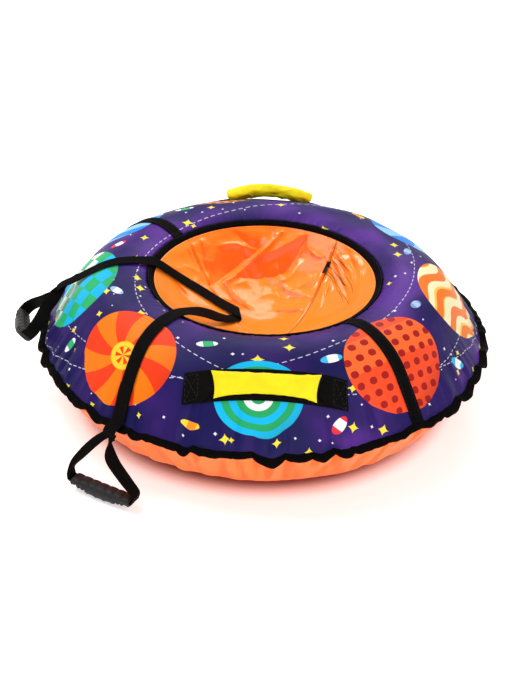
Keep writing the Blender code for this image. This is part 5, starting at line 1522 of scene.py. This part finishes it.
def finish_node(name, material):
    """Gives a carried-over CAD node its finish."""
    node_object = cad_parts[name]
    for slot in node_object.material_slots:
        slot.material = material
    if not node_object.material_slots:
        node_object.data.materials.append(material)


def valve_and_zip_metal(context):
    """Finishes of the carried-over small parts: the valve's stem, core and cap, the zip's slider and its pull."""
    colours = context.scene.snow_tube_colours
    rubber = moulded("valve_rubber", (0.018, 0.018, 0.018), 0.5, 500)
    brass = moulded("brass", (0.55, 0.38, 0.14), 0.35, 900, 1.0)
    plastic = moulded("cap_plastic", colours.grip, 0.42, 900)
    dark = moulded("zip_metal", (0.005, 0.002, 0.001), 0.36, 900, gloss=0.06)
    for name, material in (("valve_stem", rubber), ("valve_core", brass), ("valve_cap", plastic),
                           ("zip_slider", dark), ("zip_pull", dark)):
        finish_node(name, material)


def black_webbing(context):
    """The one finish of all black webbing, made once."""
    ready = bpy.data.materials.get("ribbed_webbing")
    return ready or woven_webbing("ribbed_webbing", context.scene.snow_tube_colours.webbing)


# The add-on's properties, operators and panel


class SnowTubeSizes(bpy.types.PropertyGroup):
    """Sizes of the surfaces that a user may change."""

    webbing_width: bpy.props.FloatProperty(
        name="Strap width", description="Width of the two sewn straps, on the cloth",
        default=0.028, min=0.015, max=0.04, unit="LENGTH")
    ruffle_swing: bpy.props.FloatProperty(
        name="Ruffle swing", description="How far the gathered tape hangs between its pinches",
        default=0.0060, min=0.0, max=0.015, unit="LENGTH")
    crease_depth: bpy.props.FloatProperty(
        name="Crease depth", description="How deep the seat's creases are, as a share of the listed rises",
        default=1.7, min=0.0, max=2.5, subtype="FACTOR")
    weave_depth: bpy.props.FloatProperty(
        name="Print weave", description="Strength of the printed cloth's weave and small wrinkles",
        default=0.30, min=0.0, max=1.0, subtype="FACTOR")
    stitch_length: bpy.props.FloatProperty(
        name="Stitch length", description="Length of one visible stitch",
        default=0.0034, min=0.002, max=0.006, unit="LENGTH")


def colour_property(name, description, default):
    """A property that holds a colour."""
    return bpy.props.FloatVectorProperty(
        name=name, description=description, default=default, size=3, subtype="COLOR", min=0.0, max=1.0)


class SnowTubeColours(bpy.types.PropertyGroup):
    """Colours of the finishes that a user may change."""

    ground: colour_property("Print ground", "Ground of the printed cloth", (0.009, 0.006, 0.082))
    glow: colour_property("Print glow", "Paler clouds in the print's ground", (0.098, 0.020, 0.275))
    seat_light: colour_property("Seat", "The seat's sheet where it lies flat", (1.0, 0.270, 0.018))
    # Painted shade colour of the seat's folds
    seat_fold_shade: colour_property("Seat folds", "The seat's sheet in its folds", (1.0, 0.125, 0.000))
    base: colour_property("Base", "The slick sheet below", (1.0, 0.215, 0.052))
    webbing: colour_property("Webbing", "Straps, leash and handle strips", (0.0060, 0.0050, 0.0046))
    tape: colour_property("Tapes", "Tapes round the seam and the opening", (0.0040, 0.0033, 0.0030))
    sleeve: colour_property("Sleeves", "Padded sleeves of the handles", (1.0, 0.80, 0.010))
    grip: colour_property("Grips", "Moulded grips and the zip's coil", (0.024, 0.023, 0.024))


class PlaceCamera(bpy.types.Operator):
    """Place the camera at the photograph's viewing angle"""

    bl_idname = "snow_tube.place_camera"
    bl_label = "Camera"

    def execute(self, context):
        photo_camera(context)
        return {"FINISHED"}


class AddLeash(bpy.types.Operator):
    """Make the tow leash and the two grips with their loops"""

    bl_idname = "snow_tube.add_leash"
    bl_label = "Leash and Grips"

    def execute(self, context):
        leash_and_grips(context)
        return {"FINISHED"}


class AddStage(bpy.types.Operator):
    """Make the pale floor, the world and the lights"""

    bl_idname = "snow_tube.add_stage"
    bl_label = "Stage"

    def execute(self, context):
        studio(context)
        return {"FINISHED"}


class AddInnerTube(bpy.types.Operator):
    """Make the rubber ring inside"""

    bl_idname = "snow_tube.add_inner_tube"
    bl_label = "Inner Tube"

    def execute(self, context):
        inner_tube(context)
        return {"FINISHED"}


class AddCovers(bpy.types.Operator):
    """Make the printed cover and the slick base sheet"""

    bl_idname = "snow_tube.add_covers"
    bl_label = "Covers"

    def execute(self, context):
        top_cover(context)
        bottom_cover(context)
        return {"FINISHED"}


class AddTapes(bpy.types.Operator):
    """Make the gathered tape round the seam and the tape round the opening"""

    bl_idname = "snow_tube.add_tapes"
    bl_label = "Tapes"

    def execute(self, context):
        ruffled_tape(context)
        opening_binding(context)
        return {"FINISHED"}


class AddSeat(bpy.types.Operator):
    """Make the three panels of the hanging seat"""

    bl_idname = "snow_tube.add_seat"
    bl_label = "Seat"

    def execute(self, context):
        seat(context)
        return {"FINISHED"}


class AddZip(bpy.types.Operator):
    """Make the zip's tapes and teeth, and finish the slider, the pull and the valve"""

    bl_idname = "snow_tube.add_zip"
    bl_label = "Zip and Valve"

    def execute(self, context):
        zip_fastener(context)
        valve_and_zip_metal(context)
        return {"FINISHED"}


class AddStraps(bpy.types.Operator):
    """Make the two straps sewn to the cover"""

    bl_idname = "snow_tube.add_straps"
    bl_label = "Sewn Straps"

    def execute(self, context):
        sewn_straps(context)
        return {"FINISHED"}


class AddHandles(bpy.types.Operator):
    """Make the two padded handles"""

    bl_idname = "snow_tube.add_handles"
    bl_label = "Handles"

    def execute(self, context):
        padded_handles(context)
        return {"FINISHED"}


class AddStitches(bpy.types.Operator):
    """Make the visible stitches"""

    bl_idname = "snow_tube.add_stitches"
    bl_label = "Stitches"

    def execute(self, context):
        sewing(context)
        return {"FINISHED"}


# In the order in which they are run: the camera and the cords come first
STEPS = (PlaceCamera, AddLeash, AddStage, AddInnerTube, AddCovers, AddTapes, AddSeat, AddZip, AddStraps, AddHandles,
         AddStitches)


class SnowTubePanel(bpy.types.Panel):
    """Lists the snow tube's sizes, colours and pieces"""

    bl_idname = "VIEW3D_PT_snow_tube"
    bl_label = "Snow Tube"
    bl_space_type = "VIEW_3D"
    bl_region_type = "UI"
    bl_category = "Snow Tube"

    def draw(self, context):
        for group in (context.scene.snow_tube_sizes, context.scene.snow_tube_colours):
            column = self.layout.column(align=True)
            for name in group.__annotations__:
                column.prop(group, name)
        column = self.layout.column(align=True)
        for step in STEPS:
            column.operator(step.bl_idname)


CLASSES = (SnowTubeSizes, SnowTubeColours, *STEPS, SnowTubePanel)


def register():
    """Makes the classes and the two groups of settings known to Blender."""
    for item in CLASSES:
        bpy.utils.register_class(item)
    bpy.types.Scene.snow_tube_sizes = bpy.props.PointerProperty(type=SnowTubeSizes)
    bpy.types.Scene.snow_tube_colours = bpy.props.PointerProperty(type=SnowTubeColours)


def unregister():
    """Takes them away again."""
    del bpy.types.Scene.snow_tube_colours
    del bpy.types.Scene.snow_tube_sizes
    for item in reversed(CLASSES):
        bpy.utils.unregister_class(item)


def main():
    """Runs every operator in order."""
    register()
    for step in STEPS:
        group, name = step.bl_idname.split(".")
        getattr(getattr(bpy.ops, group), name)()


if __name__ == "__main__":
    main()
